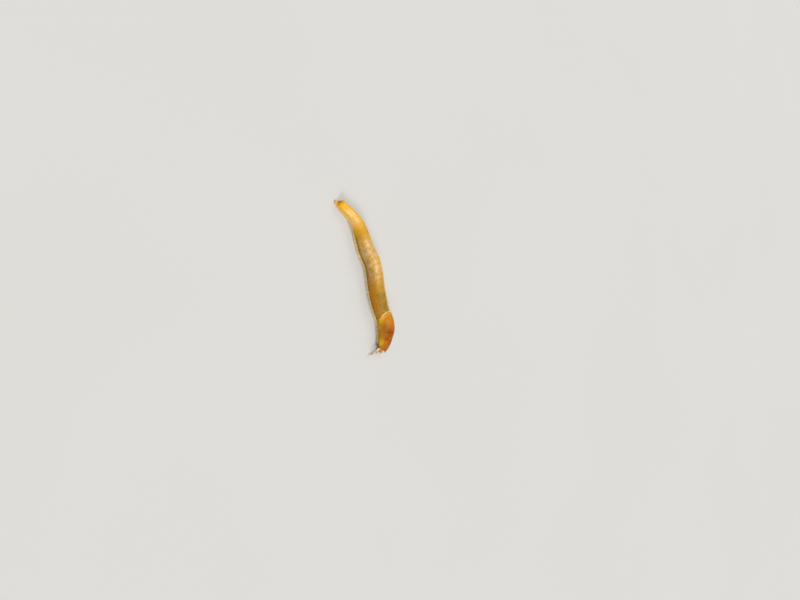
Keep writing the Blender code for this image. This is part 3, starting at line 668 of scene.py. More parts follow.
def make_back(relief):
    """The back: a dome with the tail's keel, and tubercles in staggered rows."""
    piece, share, turn = tube_blank("back_form", "back", BACK_FRONT - BACK_END, BACK_END)
    station, full = along_round(share, BACK_END, BACK_FRONT, *BACK_ROUNDS)
    way = np.abs(turn) / np.pi
    across = np.sign(turn) * np.minimum(way / BACK_TURN, 1.0)
    down = np.abs(across)
    side_mm = across * BACK_SIDE
    depth, number = cells(station + TUBERCLE_LEAN * np.abs(side_mm), side_mm, relief.tubercle_long / MM,
                          relief.tubercle_wide / MM, TUBERCLE_DRAW)
    rise = fade(depth, 0.0, TUBERCLE_SLOPE)
    size = curve_at(HALF_WIDTHS, station) / GREATEST_HALF_WIDTH
    clear = 1 - fade(down, *GROOVE_CLEAR)
    lump = rise - TUBERCLE_SINK + TUBERCLE_UNEVEN * (number - 0.5)
    flat = place(station, across * BACK_NOISE_SIDE, 0) / MM
    out = relief.tubercle_height / MM * lump * size * clear
    out = out + BACK_SWELL * soft_noise(flat, *BACK_SWELLS) * clear
    left, up = back_point(station, across, out * full)
    left = left * (1 - BACK_CURL * fade(down, BACK_CURL_STARTS, 1.0) ** 2)
    under = np.clip((way - BACK_TURN) / (1 - BACK_TURN), 0, 1)
    left = left * (1 - under)
    drop = np.minimum(under / UNDERSIDE_TURN, 1)
    up = np.where(under > 0, FOOT_HEIGHT + (BACK_BASE - FOOT_HEIGHT) * drop, up)
    set_points(piece, place(station, left * full, BACK_BASE + (up - BACK_BASE) * full))
    gold, olive, orange, wet_and_sheen = back_tones(station, across_to_girth(across), flat)
    # The furrows and the groove are painted with shade, and the wet places with a painted milky sheen.
    paint(piece, lie=(station, side_mm), zones=(0, 0, 0), tints=((1 - rise) * clear, gold, olive),
          marks=(orange, 0, GROOVE_SHADE * fade(down, *GROOVE_DARK)), film=(wet_and_sheen, 0, 0))
    return piece


def back_tones(station, girth, flat):
    """How gold, olive, orange and wet the back is, with painted light on the left and painted shade on the
    right flank. flat is where the points lie on its floor plan, in mm.
    """
    tone = patched(BACK_PATCHES, station=station, left=girth, right=-girth)
    clouds, mottles = soft_noise(flat, *BACK_CLOUDS), soft_noise(flat, *BACK_MOTTLES)
    not_left = fade(girth, *LEFT_SIDE_ENDS)
    gold = tone["gold"] + BACK_CLOUD_GOLD * clouds
    olive = tone["olive"] + BACK_CLOUD_OLIVE * clouds * not_left
    olive = olive + BACK_MOTTLE_OLIVE * mottles * not_left * fade(station, *BACK_MOTTLE_STARTS)
    return np.clip(gold, 0, 1), np.clip(olive, 0, 1), np.clip(tone["orange"], 0, 1), tone["wet_and_sheen"]


def make_foot(relief):
    """The foot: the flat sole, and round it the fringe with its upright folds."""
    piece, share, turn = tube_blank("foot_form", "foot", FOOT_FRONT, 0.0)
    turn = np.where(turn >= 0, np.pi - turn, -np.pi - turn)
    station, full = along_round(share, 0.0, FOOT_FRONT, *FOOT_ROUNDS)
    way, side = np.abs(turn) / np.pi, np.where(turn >= 0, 1.0, -1.0)
    brim = curve_at(FOOT_HALF_WIDTHS, station) * full
    groove = np.minimum(GROOVE_INSET * curve_at(HALF_WIDTHS, station), FRINGE_INSET * brim)
    tip = 1 - fade(station, 0.0, TAIL_TIP_LONG)
    top = FOOT_HEIGHT + (TAIL_TIP_HEIGHT - FOOT_HEIGHT) * tip
    sole = brim - np.minimum(SOLE_INSET, SOLE_INSET_SHARE * brim)
    lean = np.pi * (np.clip((way - SOLE_TURN) / (LIP_TURN - SOLE_TURN), 0, 1) - 0.5)
    outer = np.clip(np.cos(lean), 0, 1)
    fold, _ = cells(station + FOLD_SHIFT * side, np.zeros(station.shape), relief.fold_wide / MM, FOLD_ROW,
                    FOLD_DRAW)
    fold = fade(fold, 0.0, FOLD_SLOPE)
    crimp = relief.fold_depth / MM * (fold - FOLD_SINK) * outer ** FOLD_POWER * full
    flat = np.stack([station, FOOT_WAVE_SHIFT * side, 0 * station], axis=1)
    crimp = crimp + FOOT_WAVE * soft_noise(flat, *FOOT_WAVES) * np.cos(lean)
    slope = groove + (brim - groove) * outer ** FRINGE_POWER
    left = np.where(lean < 0, sole + (brim - sole) * outer, slope) + crimp
    up = BRIM_HEIGHT + np.where(lean < 0, BRIM_HEIGHT, top - BRIM_HEIGHT) * np.sin(lean)
    under = way < SOLE_TURN
    left = np.where(under, sole * way / SOLE_TURN, left)
    up = np.where(under, 0.0, up)
    inner = np.clip((way - LIP_TURN) / (1 - LIP_TURN), 0, 1)
    left = left * (1 - inner)
    up = (up + FOOT_INNER_RISE * inner) * (FOOT_END_HEIGHT + (1 - FOOT_END_HEIGHT) * full)
    set_points(piece, place(station, side * left - TAIL_TIP_ASIDE * tip, up))
    # Painted shade in the pedal groove, and in the furrows between the folds.
    dark = GROOVE_SHADE * fade(lean, *FOOT_GROOVE_DARK)
    outside = fade(lean, *FOOT_EDGE)
    furrow = FOLD_FURROW_SHADE * (1 - fold) * outside * (1 - dark)
    paint(piece, lie=(station, side * way * FOOT_SIDE), zones=(0, 1, 0),
          tints=(furrow, fade(station, *FOOT_GOLD_ENDS), 1 - outside), marks=(0, 0, dark),
          film=(FOOT_WET, 0, 0))
    return piece


def make_mantle(relief):
    """The mantle: a fine-grained shield with a rounded free edge, swollen round the breathing pore."""
    bpy.ops.object.select_all(action="DESELECT")
    bpy.ops.mesh.primitive_uv_sphere_add(segments=MANTLE_SEGMENTS, ring_count=MANTLE_RINGS,
                                         radius=MANTLE_BALL * MM, location=(0, 0, 0))
    piece = bpy.context.object
    piece.name = "mantle_form"
    share, station, girth, face = mantle_spots(points_of(piece))
    side_mm = girth / 90 * MANTLE_SIDE
    grain_wide = relief.grain_wide / MM
    depth, number = cells(station, side_mm, grain_wide * GRAIN_STRETCH, grain_wide, GRAIN_DRAW)
    grain = fade(depth, 0.0, GRAIN_SLOPE)
    flat = np.stack([station, side_mm, 0 * station], axis=1)
    slit, lips = pore_shares(station, side_mm)
    above = np.clip(face, 0, 1)
    out = relief.grain_height / MM * (grain - GRAIN_SINK + GRAIN_UNEVEN * (number - 0.5))
    out = out + MANTLE_FOLD * soft_noise(flat * MANTLE_FOLD_SPAN, *MANTLE_FOLDS)
    out = out + MANTLE_SWELL * soft_noise(flat, *MANTLE_SWELLS)
    out = out * above * (1 - fade(share, *MANTLE_EDGE_CLEAR)) + lips * PORE_SWELL * above
    middle, half = MANTLE_PROUD - 0.5 * MANTLE_THICK, 0.5 * MANTLE_THICK
    left, up = back_point(station, girth_to_across(girth), middle + half * face + out)
    set_points(piece, place(station, left, up))
    gold, deep, orange, pale = mantle_tones(share, station, girth, flat, lips)
    # Painted shade in the pore's slit, under the rounded edge, and in the furrows between grains.
    dark = SLIT_PAINTED_SHADE * slit * above + (1 - np.clip(face + UNDER_SHADE, 0, 1))
    paint(piece, lie=(station, side_mm), zones=(1, 0, 0), tints=((1 - grain) * above, gold, deep),
          marks=(orange, pale, np.clip(dark, 0, 1)), film=(0, 0, 0))
    return piece


def mantle_spots(co):
    """Where a ball's points, in mm, go on the mantle: share from centre to edge, station, girth and face.

    The face is 1 on top of the mantle and -1 under it, and the rounded edge lies between them.
    """
    turn = np.arctan2(co[:, 1], co[:, 0])
    flow = 1 - np.abs(np.arcsin(np.clip(co[:, 2] / MANTLE_BALL, -1, 1))) / (0.5 * np.pi)
    lip = np.clip((flow - MANTLE_TOP_FLOW) / (1 - MANTLE_TOP_FLOW), 0, 1) * 0.5 * np.pi
    share = np.minimum(flow / MANTLE_TOP_FLOW, 1) * (1 - MANTLE_LIP) + MANTLE_LIP * np.sin(lip)
    cosine, sine = np.cos(turn), np.sin(turn)
    power = np.where(cosine > 0, MANTLE_POWERS[1], MANTLE_POWERS[0])
    reach = share * (np.abs(cosine) ** power + np.abs(sine) ** power) ** (-1 / power)
    girth = reach * sine * MANTLE_GIRTH
    rear = MANTLE_REAR - MANTLE_LAG * fade(girth, *MANTLE_LAG_GIRTHS)
    station = MANTLE_CENTRE + reach * cosine * np.where(cosine > 0, MANTLE_FORE, rear)
    return share, station, girth, np.cos(lip) * np.sign(co[:, 2])


def pore_shares(station, side_mm):
    """How much of the breathing pore's slit, and of the lips round it, each point of the mantle has."""
    slant = math.radians(PORE_SLANT)
    far, over = station - PORE_STATION, side_mm - PORE_GIRTH / 90 * MANTLE_SIDE
    along = far * math.cos(slant) + over * math.sin(slant)
    beside = over * math.cos(slant) - far * math.sin(slant)
    return (np.exp(-np.hypot(along / half[0], beside / half[1]) ** PORE_EDGE)
            for half in (PORE_RADII, PORE_LIPS))


def mantle_tones(share, station, girth, flat, lips):
    """How gold, deep orange, orange and pale the mantle is, its pale rim a painted highlight and its low deep
    orange on the right partly painted shade. flat is its points laid out flat, in mm.
    """
    tone = patched(MANTLE_PATCHES, share=share, station=station, left=girth, right=-girth)
    ahead = (station - FRONT_LIGHT[0]) / FRONT_LIGHT_REACH[0]
    aside = (girth - FRONT_LIGHT[1]) / FRONT_LIGHT_REACH[1]
    front = np.exp(-ahead ** 2 - aside ** 2)
    clouds = soft_noise(flat, *MANTLE_CLOUDS)
    spots = soft_noise(flat, *MANTLE_SPOTS) + FINE_SPOTS_SHARE * soft_noise(flat, *MANTLE_FINE_SPOTS)
    mottle = {name: plain + cloudy * clouds + spotty * spots
              for name, (plain, cloudy, spotty) in MANTLE_MOTTLE.items()}
    gold = tone["gold"] + FRONT_LIGHT_SHARES["gold"] * front + mottle["gold"] + lips
    deep = tone["deep"] * (1 - FRONT_LIGHT_SHARES["deep"] * front) + tone["low_deep"] * (1 - front)
    orange = tone["orange"] * mottle["orange"] + ORANGE_SPOTS * spots
    orange = orange * (1 - FRONT_LIGHT_SHARES["orange"] * front)
    # The rim's pale is a painted highlight, and the lips' pale is their own colour.
    rim = tone["rim"] * fade(soft_noise(flat, *RIM_HIGHLIGHT_BREAKS), *RIM_HIGHLIGHT_BREAK_ENDS)
    pale = RIM_HIGHLIGHT * rim + LIPS_PALE * lips
    return (np.clip(strength, 0, 1) for strength in (gold, deep * mottle["deep"], orange, pale))


def make_head():
    """The head: a low snout under the mantle's front, with fine folds along it."""
    piece, share, turn = tube_blank("head_form", "head", HEAD_TIP - HEAD_START, HEAD_START)
    station, full = along_round(share, HEAD_START, HEAD_TIP, 0, HEAD_ROUND)
    way = np.abs(turn) / np.pi
    across = np.sign(turn) * np.minimum(way / HEAD_TURN, 1.0)
    side_mm = across * HEAD_SIDE
    half_width, top = curve_at(HEAD_HALF_WIDTHS, station), curve_at(HEAD_TOPS, station)
    base = HEAD_BASE + (CHIN_HEIGHT - HEAD_BASE) * fade(station, *CHIN_STATIONS)
    left, up = section_point(half_width, top, across, base)
    left = left * (1 - np.clip((way - HEAD_TURN) / (1 - HEAD_TURN), 0, 1))
    folds = soft_noise(np.stack([station * HEAD_FOLD_SPAN, side_mm, 0 * station], axis=1), *HEAD_FOLDS)
    depth, _ = cells(station, side_mm, *HEAD_GRAIN, HEAD_GRAIN_DRAW)
    grain = fade(depth, 0.0, GRAIN_SLOPE)
    middle = 0.5 * (top + base)
    grown = full * (1 + HEAD_RELIEF * (folds + grain - GRAIN_SINK) * full)
    set_points(piece, place(station, left * grown, middle + (up - middle) * grown))
    # Painted shade under the mantle's front, and in the furrows between grains.
    shade = HEAD_SHADE * fade(station, *HEAD_SHADE_ENDS)
    paint(piece, lie=(station, side_mm), zones=HEAD_ZONES, tints=(1 - grain, *HEAD_TINTS),
          marks=(HEAD_ORANGE, 0, shade), film=(HEAD_WET, 0, 0))
    return piece


def feeler_line(spec, along):
    """The feeler's centreline, along mm from its root, and the way it points there."""
    along = np.asarray(along, float)[..., None]
    start = pointing(spec["root"][0], spec["turn"], spec["rise"])
    end = pointing(spec["root"][0], spec["turn"] + spec["bend"], spec["rise"])
    share = along / (spec["length"] + FEELER_ROOT)
    aim = start + (end - start) * share
    line = place(*spec["root"]) + (start + (end - start) * share / 2) * along * MM
    return line, aim / np.linalg.norm(aim, axis=-1, keepdims=True)


def eye_place(spec):
    """The centre of the eye in a feeler's tip, and the way it looks."""
    return feeler_line(spec, spec["length"] + FEELER_ROOT - EYE_SUNK)


def make_feeler(name, spec):
    """A feeler: a smooth tapering stalk, wrinkled where it leaves the head, with a round knob."""
    reach = spec["length"] + FEELER_ROOT
    kind = "long_feeler" if spec["length"] > LONG_FEELER else "short_feeler"
    piece, share, turn = tube_blank(name + "_form", kind, reach, 0.0)
    along, full = along_round(share, 0.0, reach, 0, spec["knob"])
    out = (along - FEELER_ROOT) / spec["length"]
    clear = np.maximum(along - FEELER_ROOT, 0)
    taper = spec["base"] + (spec["neck"] - spec["base"]) * np.minimum(np.maximum(out, 0) / FEELER_TAPER, 1.0)
    size = spec["knob"] / spec["length"]
    radius = taper + (spec["knob"] - taper) * fade(out, 1 - KNOB_STARTS * size, 1 - KNOB_FULL * size)
    radius = radius + FEELER_FLARE * np.exp(-clear / FEELER_FLARE_REACH) * spec["base"]
    height, apart, fall = FEELER_WRINKLES
    wrinkles = height * np.sin(2 * np.pi * along / apart) * np.exp(-clear / fall)
    radius = radius + wrinkles * fade(out, *WRINKLES_END)
    line, aim = feeler_line(spec, along)
    left = np.cross((0, 0, 1), aim)
    left = left / np.linalg.norm(left, axis=1, keepdims=True)
    over = np.cross(aim, left)
    radius = (radius * full)[:, None] * MM
    set_points(piece, line + (left * np.sin(turn)[:, None] + over * np.cos(turn)[:, None]) * radius)
    free = fade(clear, 0.0, FEELER_BLEND)
    stalk = LOWER_STALK if name.startswith("lower") else 1.0
    stalk = HEAD_FEELER_SHARE + (1 - HEAD_FEELER_SHARE) * free * stalk
    pale = PALE_BASE * fade(clear, *PALE_STARTS) * fade(out, *PALE_ENDS)
    orange = np.maximum(fade(out, *TIP_STARTS), HEAD_ORANGE * (1 - free))
    gold, deep = HEAD_TINTS
    paint(piece, lie=(along, np.abs(turn) * FEELER_SIDE), zones=(HEAD_MANTLE_SHARE * (1 - free), 0, stalk),
          tints=(0, gold, deep * (1 - free)), marks=(orange, pale, 0), film=(HEAD_WET, 0, 0))
    return piece


def make_ball(name, centre, radii, aim, over=(0, 0, 1), marks=(0, 0, 0), zones=(0, 0, 0)):
    """An ellipsoid blank to join or to cut with, its first radius along aim and its third nearest to over."""
    bpy.ops.object.select_all(action="DESELECT")
    bpy.ops.mesh.primitive_uv_sphere_add(segments=BALL_SEGMENTS, ring_count=BALL_RINGS, radius=MM,
                                         location=(0, 0, 0))
    piece = bpy.context.object
    piece.name = name
    aim, over = np.asarray(aim, float), np.asarray(over, float)
    side = np.cross(over, aim)
    side = side / np.linalg.norm(side)
    co = points_of(piece) * radii
    set_points(piece, centre + (co[:, :1] * aim + co[:, 1:2] * side + co[:, 2:] * np.cross(aim, side)) * MM)
    paint(piece, lie=(0.5 * LIE_SPAN, 0), zones=zones, tints=(0, *BALL_TINTS), marks=marks,
          film=(HEAD_WET, 0, 0))
    return piece


def pore_cutter():
    """The slit that the breathing pore cuts into the mantle, square to its face."""
    across = girth_to_across(PORE_GIRTH)
    centre = place(PORE_STATION, *back_point(PORE_STATION, across, MANTLE_PROUD + PORE_LIFT))
    outwards = centre - place(PORE_STATION, *back_point(PORE_STATION, across, PORE_SIGHT))
    outwards = outwards / np.linalg.norm(outwards)
    forwards = pointing(PORE_STATION, 0, 0)
    upwards = np.cross(forwards, outwards)
    upwards = upwards * math.copysign(1, upwards[2])
    slant = math.radians(PORE_SLANT)
    aim = forwards * math.cos(slant) + upwards * math.sin(slant)
    # Its marks paint shade into the slit.
    return make_ball("pore", centre, PORE_RADII, aim, outwards, marks=(0, 0, 1))


def joined_head():
    """The head, with the two lobes beside the mouth, the feelers and the mouth's slit."""
    head = make_head()
    aim = pointing(HEAD_TIP, 0, 0)
    for side in (-1, 1):
        centre = place(HEAD_TIP - LOBE_BACK, side * LOBE_SPREAD, LOBE_HEIGHT)
        lobe = make_ball("lobe", centre, LOBE_RADII, aim, marks=(HEAD_ORANGE, 0, 0), zones=HEAD_ZONES)
        combine(head, lobe, "UNION")
    for name, spec in FEELERS.items():
        combine(head, make_feeler(name, spec), "UNION")
    # The mouth's slit is painted with shade.
    mouth = make_ball("mouth", place(HEAD_TIP, 0, MOUTH_HEIGHT), MOUTH_RADII, aim, marks=(0, 0, 1))
    combine(head, mouth, "DIFFERENCE")
    return head


def pit_cutter():
    """The notch of the mucus pit."""
    centre = place(BACK_END, 0, FOOT_HEIGHT + PIT_RADII[2])
    # The notch is painted with shade.
    return make_ball("pit", centre, PIT_RADII, pointing(BACK_END, 0, 0), marks=(0, 0, PIT_PAINTED_SHADE))


def seat_cutter(spec):
    """The round hollow for the eye in a feeler's tip."""
    radii = (EYE_RADIUS + EYE_SEAT,) * 3
    # The hollow is painted with shade.
    return make_ball("seat", eye_place(spec)[0], radii, (1, 0, 0), marks=(0, 0, SEAT_PAINTED_SHADE), zones=(0, 0, 1))


def combine(target, other, operation):
    """Applies one Boolean of the other form to the target, and removes the other."""
    bpy.ops.object.select_all(action="DESELECT")
    bpy.context.view_layer.objects.active = target
    target.select_set(True)
    boolean = target.modifiers.new(operation.lower(), "BOOLEAN")
    boolean.operation = operation
    boolean.object = other
    boolean.solver = "MANIFOLD"
    before = len(target.data.polygons)
    bpy.ops.object.modifier_apply(modifier=boolean.name)
    if len(target.data.polygons) == before:
        raise RuntimeError(f"{other.name} changed nothing in {target.name}")
    bpy.data.objects.remove(other)


def soften_creases(piece):
    """Smooths the hollow creases where forms were joined, and the rings of points beside them."""
    bm = bmesh.new()
    bm.from_mesh(piece.data)
    weights = {}
    for edge in bm.edges:
        if len(edge.link_faces) != 2:
            raise RuntimeError("the skin isn't one closed surface")
        if edge.calc_face_angle_signed(0.0) < -CREASE_ANGLE:
            weights[edge.verts[0].index] = weights[edge.verts[1].index] = 1.0
    bm.verts.ensure_lookup_table()
    outermost = set(weights)
    for ring in range(CREASE_RINGS):
        beside = {edge.other_vert(bm.verts[n]).index for n in outermost for edge in bm.verts[n].link_edges}
        outermost = beside - set(weights)
        for n in outermost:
            weights[n] = 1 - (ring + 1) / (CREASE_RINGS + 1)
    bm.free()
    group = piece.vertex_groups.new(name="creases")
    for n, weight in weights.items():
        group.add((n,), weight, "REPLACE")
    smooth = piece.modifiers.new("soften", "SMOOTH")
    smooth.vertex_group = group.name
    smooth.iterations = CREASE_PASSES
    bpy.ops.object.select_all(action="DESELECT")
    bpy.context.view_layer.objects.active = piece
    piece.select_set(True)
    bpy.ops.object.modifier_apply(modifier=smooth.name)
    piece.vertex_groups.clear()


def feed(node, inputs):
    """Feeds inputs, by name or number, with values or hex colours, or links them from sockets or nodes."""
    for key, value in inputs.items():
        if isinstance(value, bpy.types.Node):
            value = next(socket for socket in value.outputs if socket.enabled)
        if isinstance(value, bpy.types.NodeSocket):
            node.id_data.links.new(value, node.inputs[key])
        else:
            node.inputs[key].default_value = (*linear(value), 1) if isinstance(value, str) else value


def add_node(tree, kind, settings, inputs):
    """Adds a node with its settings, and feeds its inputs."""
    node = tree.nodes.new("ShaderNode" + kind)
    for key, value in settings.items():
        setattr(node, key, value)
    feed(node, inputs)
    return node


def new_material(name):
    """An empty material with its shader, and its node tree."""
    made = bpy.data.materials.new(name)
    made.use_nodes = True
    return made, made.node_tree, made.node_tree.nodes["Principled BSDF"]


def back_colour(add, colours, read, blotch):
    """The back: gold and olive over the body's yellow, and the orange stripe along the flank, with painted
    light on the left and painted shade on the right.
    """
    less = add("Math", TAKE, {0: read["gold"], 1: 0.5 * BLOTCH_GOLD})
    gold = add("Math", TIMES_PLUS, {0: blotch, 1: BLOTCH_GOLD, 2: less})
    back = add("Mix", COLOURS, {SHARE: gold, FIRST: colours.body, SECOND: colours.gold})
    full = add("Math", TIMES_PLUS, {0: blotch, 1: BLOTCH_OLIVE, 2: 1 - BLOTCH_OLIVE})
    olive = add("Math", TIMES, {0: read["olive"], 1: full})
    back = add("Mix", COLOURS, {SHARE: olive, FIRST: back, SECOND: colours.olive})
    stripe = add("Math", TIMES, {0: read["orange"], 1: FLANK_SHARE})
    return add("Mix", COLOURS, {SHARE: stripe, FIRST: back, SECOND: colours.flank})


def mantle_colour(add, colours, read, blotch):
    """The mantle: brown on the right, and orange to deep orange on its top."""
    gold = add("Math", TIMES, {0: read["gold"], 1: MANTLE_GOLD_SHARE})
    mantle = add("Mix", COLOURS, {SHARE: gold, FIRST: colours.mantle, SECOND: colours.gold})
    less = add("Math", TAKE, {0: read["orange"], 1: 0.5 * BLOTCH_ORANGE})
    orange = add("Math", TIMES_PLUS, {0: blotch, 1: BLOTCH_ORANGE, 2: less})
    mantle = add("Mix", COLOURS, {SHARE: orange, FIRST: mantle, SECOND: colours.orange})
    return add("Mix", COLOURS, {SHARE: read["olive"], FIRST: mantle, SECOND: colours.deep})


def foot_colour(add, colours, read, fleck):
    """The foot: a pale fringe, gold at the tail's tip, round a plain sole."""
    flecks = add("Math", TIMES, {0: fleck, 1: FRINGE_FLECK_SHARE})
    fringe = add("Mix", COLOURS, {SHARE: flecks, FIRST: colours.fringe, SECOND: colours.body})
    gold = add("Math", TIMES, {0: read["gold"], 1: FRINGE_GOLD_SHARE})
    fringe = add("Mix", COLOURS, {SHARE: gold, FIRST: fringe, SECOND: colours.gold})
    return add("Mix", COLOURS, {SHARE: read["olive"], FIRST: fringe, SECOND: colours.sole})


def fine_relief(add, read, lie):
    """Relief that is too fine for the mesh: grain on the body, lines up the fringe, and smooth feelers."""
    grain_at = add("Mapping", {}, {"Vector": lie, "Scale": (*(LIE_SPAN / size for size in GRAIN_CELL), 1)})
    grain = add("TexVoronoi", {"feature": "DISTANCE_TO_EDGE"}, {"Vector": grain_at, "Scale": 1.0})
    grain = add("MapRange", {}, {"Value": grain, "From Min": 0.0, "From Max": 0.25})
    line_at = add("Mapping", {}, {"Vector": lie, "Scale": (*(LIE_SPAN / size for size in FRINGE_LINE), 1)})
    lines = add("TexNoise", {}, {"Vector": line_at, "Scale": 1.0, "Detail": 2.0})
    relief = add("Mix", {"data_type": "FLOAT"}, {"Factor": read["foot"], "A": grain, "B": lines})
    return add("Mix", {"data_type": "FLOAT"}, {"Factor": read["feeler"], "A": relief, "B": 0.5})


def skin_material(colours):
    """Living slug skin: translucent flesh under clear mucus, which gives soft, broken highlights."""
    made, tree, shader = new_material("moist_slug_skin")
    add = functools.partial(add_node, tree)
    read = {}
    for name, parts in LAYERS.items():
        layer = add("Attribute", {"attribute_name": name}, {})
        read.update(zip(parts, add("SeparateColor", {}, {"Color": layer.outputs["Color"]}).outputs))
    wet_and_sheen = add("Attribute", {"attribute_name": "film"}, {}).outputs["Fac"]
    lie = add("UVMap", {"uv_map": "lie"}, {})
    here = add("TexCoord", {}, {}).outputs["Object"]
    blotch = add("TexNoise", {}, {"Vector": here, "Scale": 1 / BLOTCH_SIZE, "Detail": 4.0})
    blotch = add("MapRange", {}, {"Value": blotch, "From Min": 0.35, "From Max": 0.65})
    fleck = add("TexNoise", {}, {"Vector": here, "Scale": 1 / FLECK_SIZE, "Detail": 3.0})
    fleck = add("MapRange", {}, {"Value": fleck, "From Min": 0.4, "From Max": 0.62})
    back = back_colour(add, colours, read, blotch)
    mantle = mantle_colour(add, colours, read, blotch)
    skin = add("Mix", COLOURS, {SHARE: read["mantle"], FIRST: back, SECOND: mantle})
    foot = foot_colour(add, colours, read, fleck)
    skin = add("Mix", COLOURS, {SHARE: read["foot"], FIRST: skin, SECOND: foot})
    feeler = add("Mix", COLOURS, {SHARE: read["orange"], FIRST: colours.feeler, SECOND: colours.tip})
    skin = add("Mix", COLOURS, {SHARE: read["feeler"], FIRST: skin, SECOND: feeler})
    # What lies over all of it: flecks, a painted milky sheen where the mucus pools, pale skin with the
    # painted highlight of the mantle's rear rim, and painted shade in furrows, grooves and hollows.
    flecks = add("Math", TIMES, {0: fleck, 1: FLECK_SHARE})
    skin = add("Mix", COLOURS, {SHARE: flecks, FIRST: skin, SECOND: colours.fleck})
    pool = add("TexNoise", {}, {"Vector": here, "Scale": 1 / POOL_SIZE, "Detail": 2.0})
    thick = add("MapRange", {}, {"Value": pool, "From Min": 0.38, "From Max": 0.6, "To Min": 0.3,
                                 "To Max": 1.0})
    # A painted milky sheen where the mucus lies thick.
    painted_sheen = add("Math", TIMES, {0: wet_and_sheen, 1: thick})
    painted_sheen = add("Math", TIMES, {0: painted_sheen, 1: MILKY_SHEEN_SHARE})
    skin = add("Mix", COLOURS, {SHARE: painted_sheen, FIRST: skin, SECOND: colours.milky_sheen})
    # Pale skin, and the painted highlight on the mantle's rear rim.
    skin = add("Mix", COLOURS, {SHARE: read["pale"], FIRST: skin, SECOND: colours.pale})
    # Painted shade in the furrows, then in grooves and hollows.
    furrow = add("Math", TIMES, {0: read["furrow"], 1: FURROW_SHADE_SHARE})
    skin = add("Mix", DARKEN, {SHARE: furrow, FIRST: skin, SECOND: colours.furrow})
    skin = add("Mix", COLOURS, {SHARE: read["dark"], FIRST: skin, SECOND: colours.dark})
    relief = fine_relief(add, read, lie)
    film = add("TexNoise", {}, {"Vector": here, "Scale": 1 / FILM_SIZE, "Detail": 2.0})
    relief = add("Math", TIMES_PLUS, {0: film, 1: FILM_BUMP, 2: relief})
    bump = add("Bump", {}, {"Height": relief, "Distance": BUMP_HEIGHT, "Strength": 1.0})
    ripple = add("Bump", {}, {"Height": pool, "Distance": RIPPLE_HEIGHT, "Strength": 0.7})
    weight = add("Math", TIMES_PLUS, {0: wet_and_sheen, 1: 1 - DRY_COAT, 2: DRY_COAT})
    weight = add("Math", TIMES, {0: thick, 1: weight})
    rough = add("MapRange", {}, {"Value": film, "From Min": 0.3, "From Max": 0.7, "To Min": 0.3,
                                 "To Max": 0.46})
    feed(shader, {"Base Color": skin, "Normal": bump, "Coat Normal": ripple, "Coat Weight": weight,
                  "Roughness": rough, "IOR": 1.4, "Specular IOR Level": 0.12, "Coat Roughness": 0.3,
                  "Coat IOR": 2.3, "Subsurface Weight": 0.08, "Subsurface Scale": 0.001,
                  "Subsurface Radius": (1.0, 0.75, 0.3)})
    return made


def eye_material():
    """A slug's eye: a black bead, wet and smooth, which gives one sharp glint."""
    made, tree, shader = new_material("wet_black_bead")
    here = add_node(tree, "TexCoord", {}, {}).outputs["Object"]
    cloud = add_node(tree, "TexNoise", {}, {"Vector": here, "Scale": 1 / EYE_CLOUD_SIZE})
    black = add_node(tree, "Mix", COLOURS, {SHARE: cloud, FIRST: "#0d0b0a", SECOND: "#1c1714"})
    feed(shader, {"Base Color": black, "Roughness": 0.12, "IOR": 1.4, "Coat Weight": 1.0,
                  "Coat Roughness": 0.04})
    return made


def floor_material():
    """Matt pale board, which takes soft shadows and gives no glare."""
    made, tree, shader = new_material("matt_pale_board")
    here = add_node(tree, "TexCoord", {}, {}).outputs["Object"]
    cloud = add_node(tree, "TexNoise", {}, {"Vector": here, "Scale": 1 / FLOOR_CLOUD_SIZE})
    pale = add_node(tree, "Mix", COLOURS, {SHARE: cloud, FIRST: "#c9c7c3", SECOND: "#cdcbc8"})
    feed(shader, {"Base Color": pale, "Roughness": 0.9})
    return made


def size_property(name, description, default):
    """A size of the relief, in metres."""
    return bpy.props.FloatProperty(name=name, description=description, default=default, min=0.0, precision=5,
                                   subtype="DISTANCE", unit="LENGTH")


def hex_colour(name, description, default):
    """A colour, as an sRGB hex code."""
    return bpy.props.StringProperty(name=name, description=description, default=default)


class SlugRelief(bpy.types.PropertyGroup):
    """Sizes of the skin's relief."""

    tubercle_long: size_property("Tubercle length", "Length of a tubercle of the back", 0.0040)
    tubercle_wide: size_property("Tubercle width", "Width of a tubercle in the middle of the body", 0.0014)
    tubercle_height: size_property("Tubercle height", "Height of a tubercle over its furrows", 0.00011)
    fold_wide: size_property("Fold width", "Width of an upright fold of the foot's fringe", 0.0016)
    fold_depth: size_property("Fold depth", "Depth of those folds", 0.00012)
    grain_wide: size_property("Grain width", "Width of a grain of the mantle", 0.0011)
    grain_height: size_property("Grain height", "Height of those grains", 0.00006)


